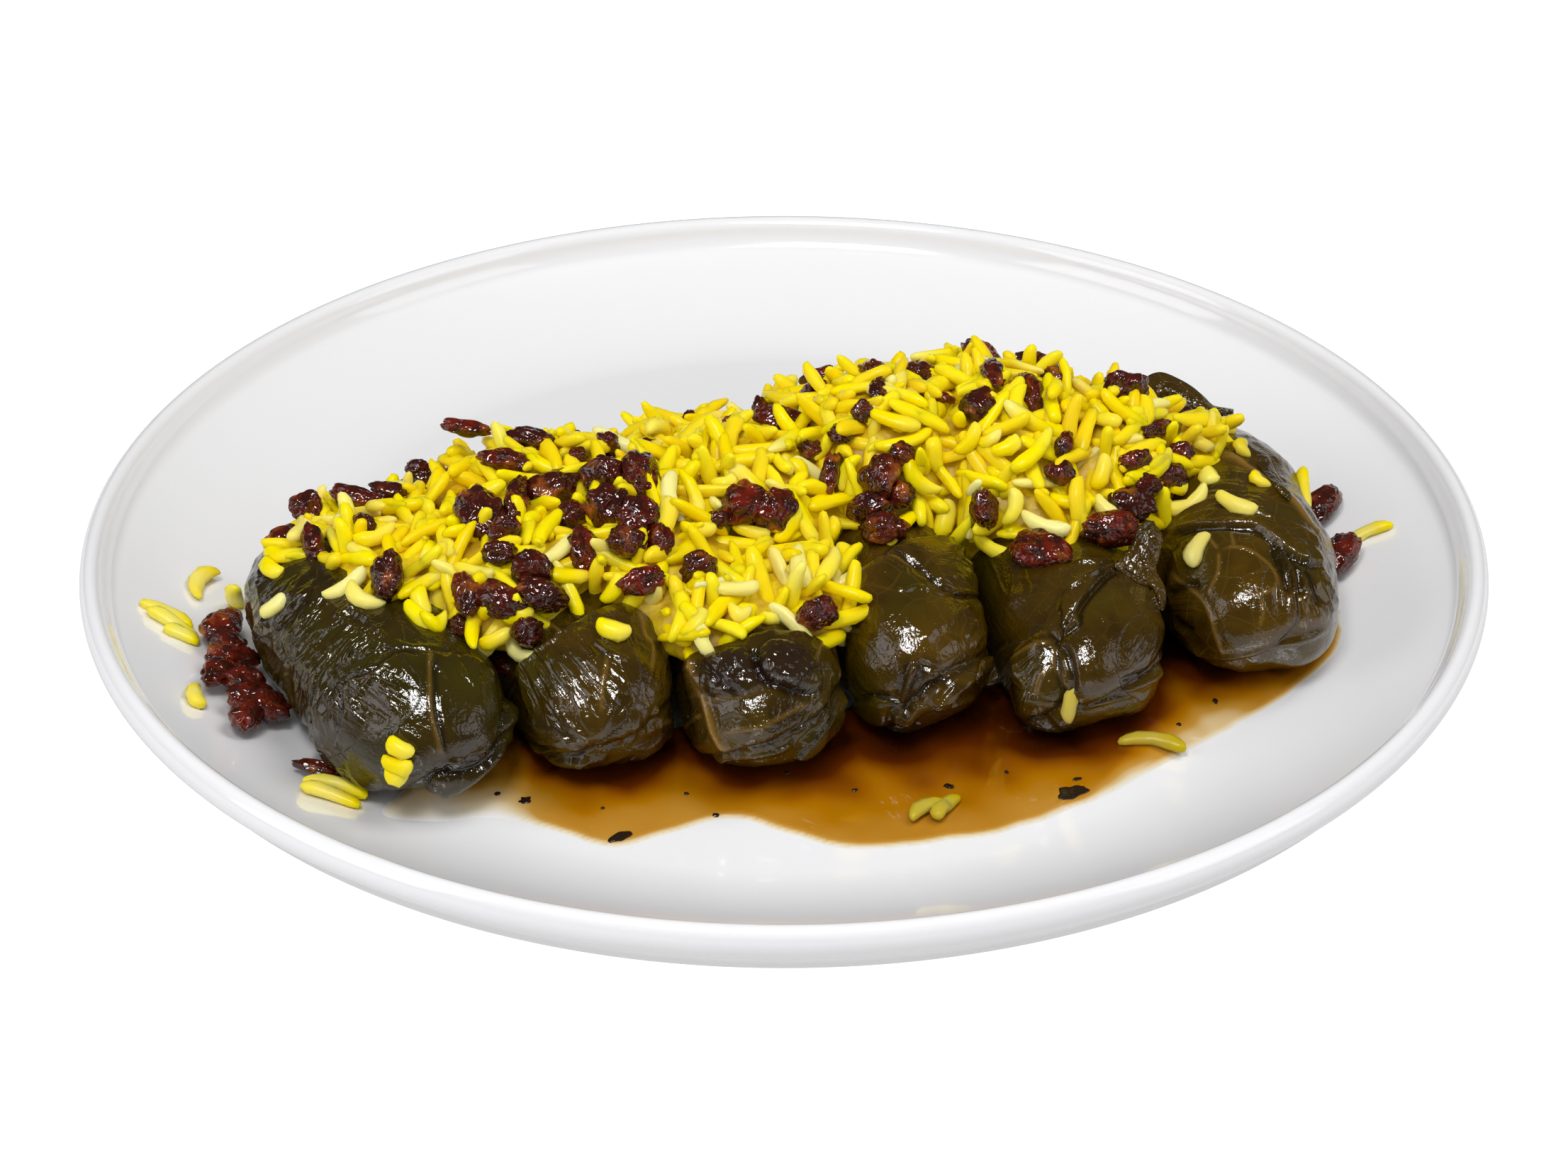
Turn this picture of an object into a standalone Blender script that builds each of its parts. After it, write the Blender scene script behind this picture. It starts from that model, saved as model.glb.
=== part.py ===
"""Six stuffed vine leaf rolls in a row on a round white plate, under saffron rice with barberries, in brown juice.

Metres, +Z up. The origin is at the centre of the plate's foot, on the table. The rolls' front ends look towards -Y.
"""

import math
import random

import bmesh
import bpy
from mathutils import Matrix, Vector, noise

MM = 0.001
UP = Vector((0, 0, 1))

# The plate
PLATE_RADIUS = 0.120
PLATE_STEPS = 44
FLOOR_TOP = 0.0065
FLOOR_RADIUS = 0.084
FLOOR_THICKNESS = 0.0042
WALL_RADIUS = 0.116
WALL_RISE = 0.0105
WALL_SWEEP = 1.7
LIP_HALF_WIDTH = 0.0020
LIP_HALF_HEIGHT = 0.0027
FOOT_OUTER_RADIUS = 0.074
FOOT_INNER_RADIUS = 0.069
FOOT_RECESS = 0.0016

# Clearance between solids that touch
GAP = 0.0004
TRIM = 0.0006

# Colour and roughness of what each piece is made of
PORCELAIN = ((0.87, 0.87, 0.88), 0.12)
VINE_LEAF = ((0.035, 0.038, 0.012), 0.25)
SAFFRON_RICE = ((0.90, 0.72, 0.02), 0.40)
JUICE = ((0.20, 0.09, 0.02), 0.08)
BARBERRY = ((0.13, 0.010, 0.008), 0.30)

# The rolls, in millimetres: the middle of the front dome, heading from +Y towards -X in degrees, and
# width, length and height. A knob is a tucked end of leaf: the direction in which it stands off the
# roll's middle, in the roll's own axes, then its spread and its rise.
ROLLS = {
    "dolma_1": {
        "dome": (-57.8, -56.5),
        "heading": 27,
        "size": (31, 72, 24),
        "knobs": [((0.75, -0.85, -0.55), 5.0, 1.6)],
    },
    "dolma_2": {
        "dome": (-30.2, -51.0),
        "heading": 15,
        "size": (28, 64, 23),
        "knobs": [((0.9, -0.8, -0.6), 4.0, 1.2)],
    },
    "dolma_3": {
        "dome": (-4.0, -50.5),
        "heading": 13,
        "size": (28.5, 66, 23),
        "knobs": [((0.95, -0.8, -0.35), 4.5, 1.6)],
    },
    "dolma_4": {
        "dome": (21.0, -38.0),
        "heading": 13,
        "size": (28, 66, 24.5),
        "knobs": [((-0.25, -1.0, -0.6), 5.0, 2.0), ((0.95, -0.85, -0.5), 4.0, 1.8)],
    },
    "dolma_5": {
        "dome": (49.0, -38.2),
        "heading": 12,
        "size": (28.5, 68, 23.5),
        "knobs": [((-0.7, -1.0, -0.45), 5.0, 3.5)],
    },
    "dolma_6": {
        "dome": (78.8, -21.5),
        "heading": 8,
        "size": (31.5, 66, 25),
        "knobs": [],
    },
}
ROLL_CUTS = (5, 9, 5)
ROLL_LOW_SHARE = 0.42
TOP_ROUNDNESS = 2.15
BOTTOM_ROUNDNESS = 3.2
END_ROUNDNESS = 2.7
PRESS_DEPTH = 0.0016

# Leaf corners that stand off the rolls, in millimetres: points along the blade's middle, from root to tip
LEAF_CORNERS = {
    "dolma_5": [((58.5, -23.0, 24.0), (61.0, -26.0, 31.5), (63.5, -28.0, 36.0))],
    "dolma_6": [
        ((64.0, 12.0, 26.0), (66.5, 22.0, 30.5), (73.0, 27.0, 31.0), (79.5, 27.0, 29.0)),
        ((81.0, 4.0, 27.0), (88.0, 2.0, 26.5), (93.0, -3.0, 21.5)),
    ],
}
LEAF_WIDTH = 0.010
LEAF_THICKNESS = 0.0012
LEAF_WAVE = 0.0007

# The heap of rice, as rounded lumps in millimetres: middle, reach across and along, then its level, and
# how far it rises above and sinks below that
HEAP = [
    ((-75, -22), (10, 16), (26, 5, 5)),
    ((-62, -27), (16, 20), (26, 9, 5)),
    ((-44, -26), (18, 24), (25, 12, 5)),
    ((-40, -8), (22, 15), (24, 14.5, 6)),
    ((-22, -20), (18, 26), (25, 14, 5)),
    ((-12, -33), (15, 21), (25, 9.5, 4)),
    ((3, -35), (10, 15), (25, 8, 4)),
    ((-4, -8), (20, 22), (24, 16.5, 6)),
    ((17, 2), (19, 23), (24, 21.5, 6)),
    ((38, 3), (19, 24), (24, 22, 6)),
    ((46, -12), (14, 14), (25, 10, 4)),
    ((55, 2), (14, 19), (24, 18, 6)),
    ((67, 6), (11, 13), (27, 9, 4)),
    ((-60, 2), (15, 15), (8, 16, 3)),
    ((-40, 6), (18, 17), (8, 22, 3)),
    ((-17, 12), (19, 18), (8, 24, 3)),
    ((7, 18), (19, 18), (8, 27.5, 3)),
    ((30, 21), (19, 18), (8, 32, 3)),
    ((50, 17), (17, 17), (8, 28, 3)),
]
LUMP_STEPS = (11, 7)
HEAP_SEED = 12
GRAIN_LENGTH = 0.0094
GRAIN_WIDTH = 0.0029
GRAIN_SIDES = 5
GRAIN_COUNT = 47
GRAIN_SPACING = 0.0070
BERRY_LENGTH = 0.0097
BERRY_WIDTH = 0.0060
BERRY_COUNT = 18
BERRY_SPACING = 0.0145

# Loose grains, in millimetres: middle, then turn about Z and tilt in degrees
PLATE_GRAINS = [
    ((-100.3, -5.5, 11.0), 80, 0),
    ((-97.8, -44.4, 13.0), 105, 0),
    ((-93.9, -10.0, 11.1), 75, -50),
    ((-104.1, -18.4, 12.9), -20, 0),
    ((-102.7, -21.1, 12.5), -25, 0),
    ((-71.6, -68.0, 10.4), -12, 0),
    ((-71.6, -72.0, 11.4), -8, 0),
    ((102.4, 10.4, 11.6), 5, 0),
]
JUICE_GRAINS = [((22.6, -69.6, 8.0), 30, 0), ((25.4, -68.9, 8.0), 60, 0), ((59.8, -50.4, 8.0), -10, 0)]
ROLL_GRAINS = {
    "dolma_1": [((-60.3, -70.6, 21.0), -20, 0), ((-60.2, -71.3, 17.8), 5, 0)],
    "dolma_5": [((45.4, -52.4, 13.5), 60, -60)],
    "dolma_6": [
        ((68.3, -21.5, 27.8), 65, -30),
        ((68.5, -9.0, 30.2), 30, 0),
        ((76.0, -13.8, 31.8), -35, 0),
        ((80.2, -7.2, 32.5), -50, 0),
        ((90.5, -7.0, 28.0), 80, -70),
    ],
}

# Loose barberries, in millimetres: middle, turn about Z in degrees and length; each list is one piece
BERRY_GROUPS = {
    "barberries_left": [
        ((-94.5, -22.5, 13.0), 70, 9.5),
        ((-92.8, -27.2, 12.5), -58, 9.5),
        ((-91.5, -32.0, 12.4), 20, 9.5),
        ((-92.8, -37.0, 13.2), 68, 9.5),
        ((-89.1, -38.2, 12.1), -30, 9.5),
        ((-87.5, -42.8, 12.4), 60, 9.5),
        ((-84.6, -45.4, 11.8), 10, 9.0),
        ((-86.9, -49.4, 13.0), 78, 9.5),
    ],
    "barberry_front": [((-74.4, -62.4, 11.9), -8, 9.5)],
    "barberry_right_rear": [((96.0, 19.8, 12.2), 60, 9.0)],
    "barberry_right_front": [((97.0, 2.9, 12.4), 75, 9.5)],
}

# The juice, in millimetres: the edge of the pool from right to left, then back between the rolls
JUICE_EDGE = [
    (95.5, -10),
    (94.5, -19),
    (89.5, -28.5),
    (81.3, -37.2),
    (63.6, -52.6),
    (50, -64.5),
    (37.3, -72.3),
    (22, -77),
    (8.2, -77.7),
    (-7.4, -70.2),
    (-18.5, -74.4),
    (-27, -77.7),
    (-38.3, -72.3),
    (-47, -69.0),
    (-57, -73.5),
    (-57, -66),
    (-50, -54),
    (-18, -44),
    (9, -38),
    (36, -30),
    (66, -18),
]
JUICE_DEPTH = 0.0012
JUICE_EDGE_DEPTH = 0.0004
JUICE_SHORE = 0.0030
JUICE_POINTS_BETWEEN = 3


def mm(values):
    return Vector(values) * MM


def turned(name, profile, steps):
    """A closed solid turned round Z from (radius, height) points that start and end on the axis."""
    mesh = bpy.data.meshes.new(name)
    points = [(radius, 0, height) for radius, height in profile]
    mesh.from_pydata(points, [(i, i + 1) for i in range(len(points) - 1)], [])
    body = bpy.data.objects.new(name, mesh)
    screw = body.modifiers.new("turn", "SCREW")
    screw.steps = steps
    screw.render_steps = steps
    screw.use_merge_vertices = True
    screw.merge_threshold = 0.00002
    return body


def plate_top(radius):
    """Height of the plate's upper surface inside the lip."""
    out = max(0.0, radius - FLOOR_RADIUS) / (WALL_RADIUS - FLOOR_RADIUS)
    return FLOOR_TOP + WALL_RISE * out**WALL_SWEEP


def plate_normal(place):
    """Direction square to the plate's upper surface below a place."""
    out = Vector((place.x, place.y, 0))
    step = MM / 2
    slope = (plate_top(out.length + step) - plate_top(out.length - step)) / (2 * step)
    return (UP - out.normalized() * slope).normalized()


def plate_profile():
    """From the middle of the well, out over the lip, and back below the plate."""
    top = [(0, FLOOR_TOP), (FLOOR_RADIUS, FLOOR_TOP)]
    top += [(r, plate_top(r)) for r in (0.0895, 0.096, 0.103, 0.1095, 0.1148)]
    lip_middle = (PLATE_RADIUS - LIP_HALF_WIDTH, plate_top(WALL_RADIUS) + 0.0016)
    lip = []
    for degrees in range(170, -120, -45):
        angle = math.radians(degrees)
        lip.append(
            (
                lip_middle[0] + LIP_HALF_WIDTH * math.cos(angle),
                lip_middle[1] + LIP_HALF_HEIGHT * math.sin(angle),
            )
        )
    under = [(r + 0.0015, plate_top(r) - FLOOR_THICKNESS) for r in (0.112, 0.104, 0.092)]
    foot = [
        (FOOT_OUTER_RADIUS + 0.001, FLOOR_TOP - FLOOR_THICKNESS),
        (FOOT_OUTER_RADIUS, 0),
        (FOOT_INNER_RADIUS, 0),
        (FOOT_INNER_RADIUS - 0.001, FOOT_RECESS),
        (0, FOOT_RECESS),
    ]
    return top + lip + under + foot


def forward(roll):
    """Direction of a roll's axis, from its back to its front."""
    heading = math.radians(roll["heading"])
    return Vector((math.sin(heading), -math.cos(heading), 0))


def roll_frame(roll):
    """Matrix from a roll's own axes (X across, Y from front to back, Z up from its widest level) to the plate's."""
    width, length, height = mm(roll["size"])
    dome = mm((*roll["dome"], 0))
    middle = dome - forward(roll) * (length - width) / 2
    middle.z = FLOOR_TOP + GAP + ROLL_LOW_SHARE * height
    return Matrix.Translation(middle) @ Matrix.Rotation(math.radians(roll["heading"]), 4, "Z")


def plump(roll, cube_point):
    """A point of the box from -1 to 1, taken to the roll's plump surface with its flattened underside."""
    width, length, height = mm(roll["size"])
    x, y, z = cube_point
    roundness = TOP_ROUNDNESS if z > 0 else BOTTOM_ROUNDNESS
    across = (abs(x) ** roundness + abs(z) ** roundness) ** (1 / roundness)
    reach = (across**END_ROUNDNESS + abs(y) ** END_ROUNDNESS) ** (1 / END_ROUNDNESS)
    share = 1 - ROLL_LOW_SHARE if z > 0 else ROLL_LOW_SHARE
    half = Vector((width / 2, length / 2, height * share))
    place = Vector((x / reach * half.x, y / reach * half.y, z / reach * half.z))
    outward = Vector((place.x / half.x**2, place.y / half.y**2, place.z / half.z**2)).normalized()
    for direction, spread, rise in roll["knobs"]:
        peak = Vector(direction).normalized()
        peak = Vector((peak.x * half.x, peak.y * half.y, peak.z * half.z))
        near = math.exp(-(((place - peak).length / (spread * MM)) ** 2))
        place += outward * rise * MM * near
    return place


def meeting_planes(name):
    """Where a roll meets its neighbours: a point of each plane and its direction away from the roll."""
    names = list(ROLLS)
    index = names.index(name)
    planes = []
    for other in names[max(0, index - 1) : index] + names[index + 1 : index + 2]:
        own = ROLLS[name]
        beside = ROLLS[other]
        away = (forward(own) + forward(beside)).normalized().cross(UP)
        start = mm((*own["dome"], 0))
        step = mm((*beside["dome"], 0)) - start
        if away.dot(step) < 0:
            away = -away
        share = own["size"][0] / (own["size"][0] + beside["size"][0])
        planes.append((start + step * share, away))
    return planes


def roll_mesh(name, swell=0.0):
    """A roll's closed mesh, pressed flat where it meets its neighbours."""
    roll = ROLLS[name]
    shape = bmesh.new()
    bmesh.ops.create_cube(shape, size=2)
    for axis, cuts in enumerate(ROLL_CUTS):
        along = [e for e in shape.edges if abs(e.verts[0].co[axis] - e.verts[1].co[axis]) > 0.01]
        bmesh.ops.subdivide_edges(shape, edges=along, cuts=cuts, use_grid_fill=True)
    frame = roll_frame(roll)
    planes = meeting_planes(name)
    for vertex in shape.verts:
        place = frame @ plump(roll, vertex.co)
        for point, away in planes:
            past = away.dot(place - point) + GAP / 2
            if past > -PRESS_DEPTH:
                place -= away * (past + PRESS_DEPTH * math.exp(-(past + PRESS_DEPTH) / PRESS_DEPTH))
        vertex.co = place
    shape.normal_update()
    for vertex, normal in [(v, v.normal.copy()) for v in shape.verts]:
        vertex.co += normal * swell
    mesh = bpy.data.meshes.new(name)
    shape.to_mesh(mesh)
    shape.free()
    return mesh


def blade_mesh(points, swell=0.0):
    """A thin wavy strip of leaf through the points, narrowing to its tip."""
    shape = bmesh.new()
    route = [mm(p) for p in points]
    rings = []
    for index, place in enumerate(route):
        along = (route[min(index + 1, len(route) - 1)] - route[max(index - 1, 0)]).normalized()
        side = along.cross(UP).normalized()
        across = side.cross(along).normalized()
        thick = across * (LEAF_THICKNESS / 2 + swell)
        narrow = 1 - 0.75 * index / (len(route) - 1)
        reach = side * (LEAF_WIDTH / 2 * narrow + swell)
        wave = across * LEAF_WAVE * math.sin(index * 2.2)
        if index in (0, len(route) - 1):
            place = place + along * (swell if index else -swell)
        under = [place - reach - thick - wave, place + wave - thick, place + reach - thick - wave]
        over = [place + reach + thick - wave, place + wave + thick, place - reach + thick - wave]
        rings.append([shape.verts.new(c) for c in under + over])
    for lower, upper in zip(rings, rings[1:]):
        for i in range(len(lower)):
            j = (i + 1) % len(lower)
            shape.faces.new((lower[i], lower[j], upper[j], upper[i]))
    shape.faces.new(reversed(rings[0]))
    shape.faces.new(rings[-1])
    bmesh.ops.recalc_face_normals(shape, faces=shape.faces)
    mesh = bpy.data.meshes.new("leaf_corner")
    shape.to_mesh(mesh)
    shape.free()
    return mesh


def grain_mesh(bend, swell=0.0):
    """A boiled grain of rice along X, a little bent, with few sides."""
    shape = bmesh.new()
    radius = GRAIN_WIDTH / 2 * 0.95 + swell
    rings = []
    for along in (-0.36, 0.36):
        ring = []
        for side in range(GRAIN_SIDES):
            angle = math.tau * (side + 0.25) / GRAIN_SIDES
            place = (along * GRAIN_LENGTH, radius * math.cos(angle), radius * math.sin(angle))
            ring.append(shape.verts.new(place))
        rings.append(ring)
    tips = [shape.verts.new((x * (GRAIN_LENGTH + 2 * swell), 0, 0)) for x in (-0.5, 0.5)]
    for i in range(GRAIN_SIDES):
        j = (i + 1) % GRAIN_SIDES
        shape.faces.new((rings[0][i], rings[0][j], rings[1][j], rings[1][i]))
        shape.faces.new((tips[0], rings[0][j], rings[0][i]))
        shape.faces.new((tips[1], rings[1][i], rings[1][j]))
    for vertex in shape.verts:
        vertex.co.z -= bend * (vertex.co.x / GRAIN_LENGTH * 2) ** 2
    bmesh.ops.recalc_face_normals(shape, faces=shape.faces)
    mesh = bpy.data.meshes.new("grain")
    shape.to_mesh(mesh)
    shape.free()
    return mesh


def berry_mesh(seed, length):
    """A dried barberry along X, wrinkled, with few sides."""
    shape = bmesh.new()
    bmesh.ops.create_icosphere(shape, subdivisions=1, radius=0.5)
    for vertex in shape.verts:
        dent = 1 + 0.3 * noise.noise(vertex.co * 4 + Vector((seed * 7.1, 0, 0)))
        x, y, z = vertex.co * dent
        vertex.co = (x * length, y * BERRY_WIDTH, z * BERRY_WIDTH * 0.8)
    mesh = bpy.data.meshes.new("berry")
    shape.to_mesh(mesh)
    shape.free()
    return mesh


def lump_mesh(lump):
    """One rounded lump of the heap, full above its level and shallow below."""
    (x, y), (across, along), (level, rise, sink) = lump
    shape = bmesh.new()
    bmesh.ops.create_uvsphere(shape, u_segments=LUMP_STEPS[0], v_segments=LUMP_STEPS[1], radius=1)
    for vertex in shape.verts:
        reach = rise if vertex.co.z > 0 else sink
        vertex.co = mm((x + vertex.co.x * across, y + vertex.co.y * along, level + vertex.co.z * reach))
    mesh = bpy.data.meshes.new("lump")
    shape.to_mesh(mesh)
    shape.free()
    return mesh


def heap_top(x, y):
    """Height of the heap's surface in metres at a place in metres, or None beside it."""
    heights = []
    for (middle_x, middle_y), (across, along), (level, rise, _) in HEAP:
        out = ((x / MM - middle_x) / across) ** 2 + ((y / MM - middle_y) / along) ** 2
        if out < 0.95:
            heights.append((level + rise * math.sqrt(1 - out)) * MM)
    return max(heights, default=None)


def heap_normal(x, y):
    step = 0.002
    here = heap_top(x, y)
    rise_x = (heap_top(x + step, y) or here - step) - (heap_top(x - step, y) or here - step)
    rise_y = (heap_top(x, y + step) or here - step) - (heap_top(x, y - step) or here - step)
    return Vector((-rise_x, -rise_y, 2 * step)).normalized()


def spread_over_heap(dice, count, spacing, taken):
    """Places on the heap that keep apart, as (place, normal)."""
    found = []
    for _ in range(count * 60):
        if len(found) == count:
            break
        (middle_x, middle_y), (across, along), _ = dice.choice(HEAP)
        x = (middle_x + across * dice.uniform(-1, 1)) * MM
        y = (middle_y + along * dice.uniform(-1, 1)) * MM
        z = heap_top(x, y)
        if z is None:
            continue
        place = Vector((x, y, z))
        if all((place - other).length > spacing for other in taken):
            taken.append(place)
            found.append((place, heap_normal(x, y)))
    return found


def laid_matrix(place, normal, yaw, tilt):
    """Matrix that lays a piece along X on a surface, turned by yaw about its normal and tipped by tilt."""
    turn = normal.to_track_quat("Z", "Y").to_matrix().to_4x4()
    return Matrix.Translation(place) @ turn @ Matrix.Rotation(yaw, 4, "Z") @ Matrix.Rotation(tilt, 4, "Y")


def added(name, mesh, collection, matrix=None):
    if matrix:
        mesh.transform(matrix)
    piece = bpy.data.objects.new(name, mesh)
    collection.objects.link(piece)
    return piece


def evaluated_mesh(piece):
    bpy.context.view_layer.update()
    graph = bpy.context.evaluated_depsgraph_get()
    return bpy.data.meshes.new_from_object(piece.evaluated_get(graph))


def shape_with(piece, operation, tools):
    """Joins or cuts a piece with every object of a collection, and removes those objects."""
    change = piece.modifiers.new("shape", "BOOLEAN")
    change.operation = operation
    change.operand_type = "COLLECTION"
    change.collection = tools
    piece.data = evaluated_mesh(piece)
    piece.modifiers.clear()
    for tool in list(tools.objects):
        bpy.data.objects.remove(tool)


def keep_largest(piece):
    """Drops the loose scraps that a cut leaves."""
    shape = bmesh.new()
    shape.from_mesh(piece.data)
    bmesh.ops.triangulate(shape, faces=shape.faces)
    bmesh.ops.remove_doubles(shape, verts=shape.verts, dist=0.000002)
    left = set(shape.verts)
    groups = []
    while left:
        group = [left.pop()]
        for vertex in group:
            for link in vertex.link_edges:
                other = link.other_vert(vertex)
                if other in left:
                    left.remove(other)
                    group.append(other)
        groups.append(group)
    groups.sort(key=len)
    for group in groups[:-1]:
        bmesh.ops.delete(shape, geom=group, context="VERTS")
    shape.to_mesh(piece.data)
    shape.free()


def smooth_loop(corners, steps):
    """Points of a smooth closed curve through the corners."""
    loop = []
    count = len(corners)
    for i in range(count):
        before, here, after, beyond = (corners[(i + k) % count] for k in (-1, 0, 1, 2))
        for step in range(steps):
            share = step / steps
            linear = (after - before) * share
            square = (2 * before - 5 * here + 4 * after - beyond) * share**2
            cube = (3 * here - before - 3 * after + beyond) * share**3
            loop.append((2 * here + linear + square + cube) / 2)
    return loop


def juice_mesh():
    """The pool: thick in its middle, thinning at its shore, with its underside along the plate."""
    shape = bmesh.new()
    outline = smooth_loop([mm((*p, 0)) for p in JUICE_EDGE], JUICE_POINTS_BETWEEN)
    face = shape.faces.new([shape.verts.new(p) for p in reversed(outline)])
    shore = set(shape.verts)
    bmesh.ops.inset_region(shape, faces=[face], thickness=JUICE_SHORE)
    bmesh.ops.triangulate(shape, faces=shape.faces)
    top = list(shape.faces)
    pairs = bmesh.ops.duplicate(shape, geom=top)["vert_map"]
    for vertex in {v for f in top for v in f.verts}:
        bed = plate_top(vertex.co.length) + GAP
        pairs[vertex].co.z = bed
        level = bed + JUICE_EDGE_DEPTH
        vertex.co.z = level if vertex in shore else max(level, FLOOR_TOP + GAP + JUICE_DEPTH)
    for edge in {e for f in top for e in f.edges if e.is_boundary}:
        a, b = edge.verts
        shape.faces.new((a, b, pairs[b], pairs[a]))
    bmesh.ops.recalc_face_normals(shape, faces=shape.faces)
    mesh = bpy.data.meshes.new("sauce")
    shape.to_mesh(mesh)
    shape.free()
    return mesh


def leaning_matrix(place, normal, turn, tilt=0):
    """Matrix that turns a piece along X about Z and tips it, in degrees, and then leans it with what carries it."""
    lean = UP.rotation_difference(normal).to_matrix().to_4x4()
    turned_piece = laid_matrix(Vector(), UP, math.radians(turn), math.radians(tilt))
    return Matrix.Translation(place) @ lean @ turned_piece


def loose_grain(tools, grain, swell=0.0, on_plate=False):
    place, turn, tilt = grain
    place = mm(place)
    normal = plate_normal(place) if on_plate else UP
    added("grain", grain_mesh(0.0004, swell), tools, leaning_matrix(place, normal, turn, tilt))


def cut_by_rolls(piece, tools):
    """Trims a piece to leave its clearance round every roll."""
    for name in ROLLS:
        added("cutter", roll_mesh(name, swell=TRIM), tools)
        for points in LEAF_CORNERS.get(name, []):
            added("cutter", blade_mesh(points, swell=TRIM), tools)
        for grain in ROLL_GRAINS.get(name, []):
            loose_grain(tools, grain, swell=TRIM)
    shape_with(piece, "DIFFERENCE", tools)
    keep_largest(piece)


def finish(piece, colour, roughness):
    """Gives a piece its own plain material."""
    look = bpy.data.materials.new(piece.name)
    look.use_nodes = True
    shader = look.node_tree.nodes["Principled BSDF"]
    shader.inputs["Base Color"].default_value = (*colour, 1)
    shader.inputs["Roughness"].default_value = roughness
    shader.inputs["Metallic"].default_value = 0
    piece.data.materials.clear()
    piece.data.materials.append(look)


def clear_scene():
    for old in list(bpy.data.objects):
        bpy.data.objects.remove(old)


def make_plate(dish, tools):
    plate = turned("plate", plate_profile(), PLATE_STEPS)
    dish.objects.link(plate)
    plate.data = evaluated_mesh(plate)
    plate.modifiers.clear()
    for grain in PLATE_GRAINS:
        loose_grain(tools, grain, on_plate=True)
    shape_with(plate, "UNION", tools)
    keep_largest(plate)
    finish(plate, *PORCELAIN)


def make_rolls(dish, tools):
    for name in ROLLS:
        roll = added(name, roll_mesh(name), dish)
        for points in LEAF_CORNERS.get(name, []):
            added("leaf", blade_mesh(points), tools)
        for grain in ROLL_GRAINS.get(name, []):
            loose_grain(tools, grain)
        if tools.objects:
            shape_with(roll, "UNION", tools)
            keep_largest(roll)
        finish(roll, *VINE_LEAF)


def make_topping(dish, tools):
    topping = added("rice_topping", lump_mesh(HEAP[0]), dish)
    for lump in HEAP[1:]:
        added("lump", lump_mesh(lump), tools)
    dice = random.Random(HEAP_SEED)
    taken = []
    for index, (place, normal) in enumerate(spread_over_heap(dice, BERRY_COUNT, BERRY_SPACING, taken)):
        laid = laid_matrix(place, normal, dice.uniform(0, math.tau), dice.uniform(-0.3, 0.3))
        added("berry", berry_mesh(index, BERRY_LENGTH), tools, laid)
    for place, normal in spread_over_heap(dice, GRAIN_COUNT, GRAIN_SPACING, taken):
        laid = laid_matrix(place, normal, dice.uniform(0, math.tau), dice.uniform(-0.45, 0.45))
        added("grain", grain_mesh(dice.uniform(0, 0.0007)), tools, laid)
    shape_with(topping, "UNION", tools)
    slab = bmesh.new()
    bmesh.ops.create_cube(slab, size=1)
    mesh = bpy.data.meshes.new("slab")
    slab.to_mesh(mesh)
    slab.free()
    top = FLOOR_TOP + GAP
    added("cutter", mesh, tools, Matrix.Translation((0, 0, top - 0.01)) @ Matrix.Diagonal((0.3, 0.3, 0.02, 1)))
    cut_by_rolls(topping, tools)
    finish(topping, *SAFFRON_RICE)


def make_sauce(dish, tools):
    sauce = added("sauce", juice_mesh(), dish)
    for grain in JUICE_GRAINS:
        loose_grain(tools, grain)
    shape_with(sauce, "UNION", tools)
    cut_by_rolls(sauce, tools)
    finish(sauce, *JUICE)


def make_berries(dish, tools):
    for name, berries in BERRY_GROUPS.items():
        pieces = []
        for index, (place, turn, length) in enumerate(berries):
            laid = leaning_matrix(mm(place), plate_normal(mm(place)), turn)
            collection = tools if pieces else dish
            pieces.append(added(name, berry_mesh(index + len(name), length * MM), collection, laid))
        if len(pieces) > 1:
            shape_with(pieces[0], "UNION", tools)
        cut_by_rolls(pieces[0], tools)
        finish(pieces[0], *BARBERRY)


def main():
    clear_scene()
    dish = bpy.data.collections.new("stuffed_vine_leaves")
    tools = bpy.data.collections.new("tools")
    bpy.context.scene.collection.children.link(dish)
    bpy.context.scene.collection.children.link(tools)
    make_plate(dish, tools)
    make_rolls(dish, tools)
    make_topping(dish, tools)
    make_sauce(dish, tools)
    make_berries(dish, tools)


main()
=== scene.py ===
"""Looks of six stuffed vine leaf rolls in a row on a round white plate, under saffron rice with barberries.

Metres, +Z up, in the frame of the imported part. Sizes in the tables are millimetres. Photo points are pixels
of the 2212 x 1659 photograph, and a path of them is laid on whatever the camera sees there.
"""

import itertools
import math
import random

import bmesh
import bpy
import numpy as np
from mathutils import Matrix, Vector
from mathutils.bvhtree import BVHTree


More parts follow.
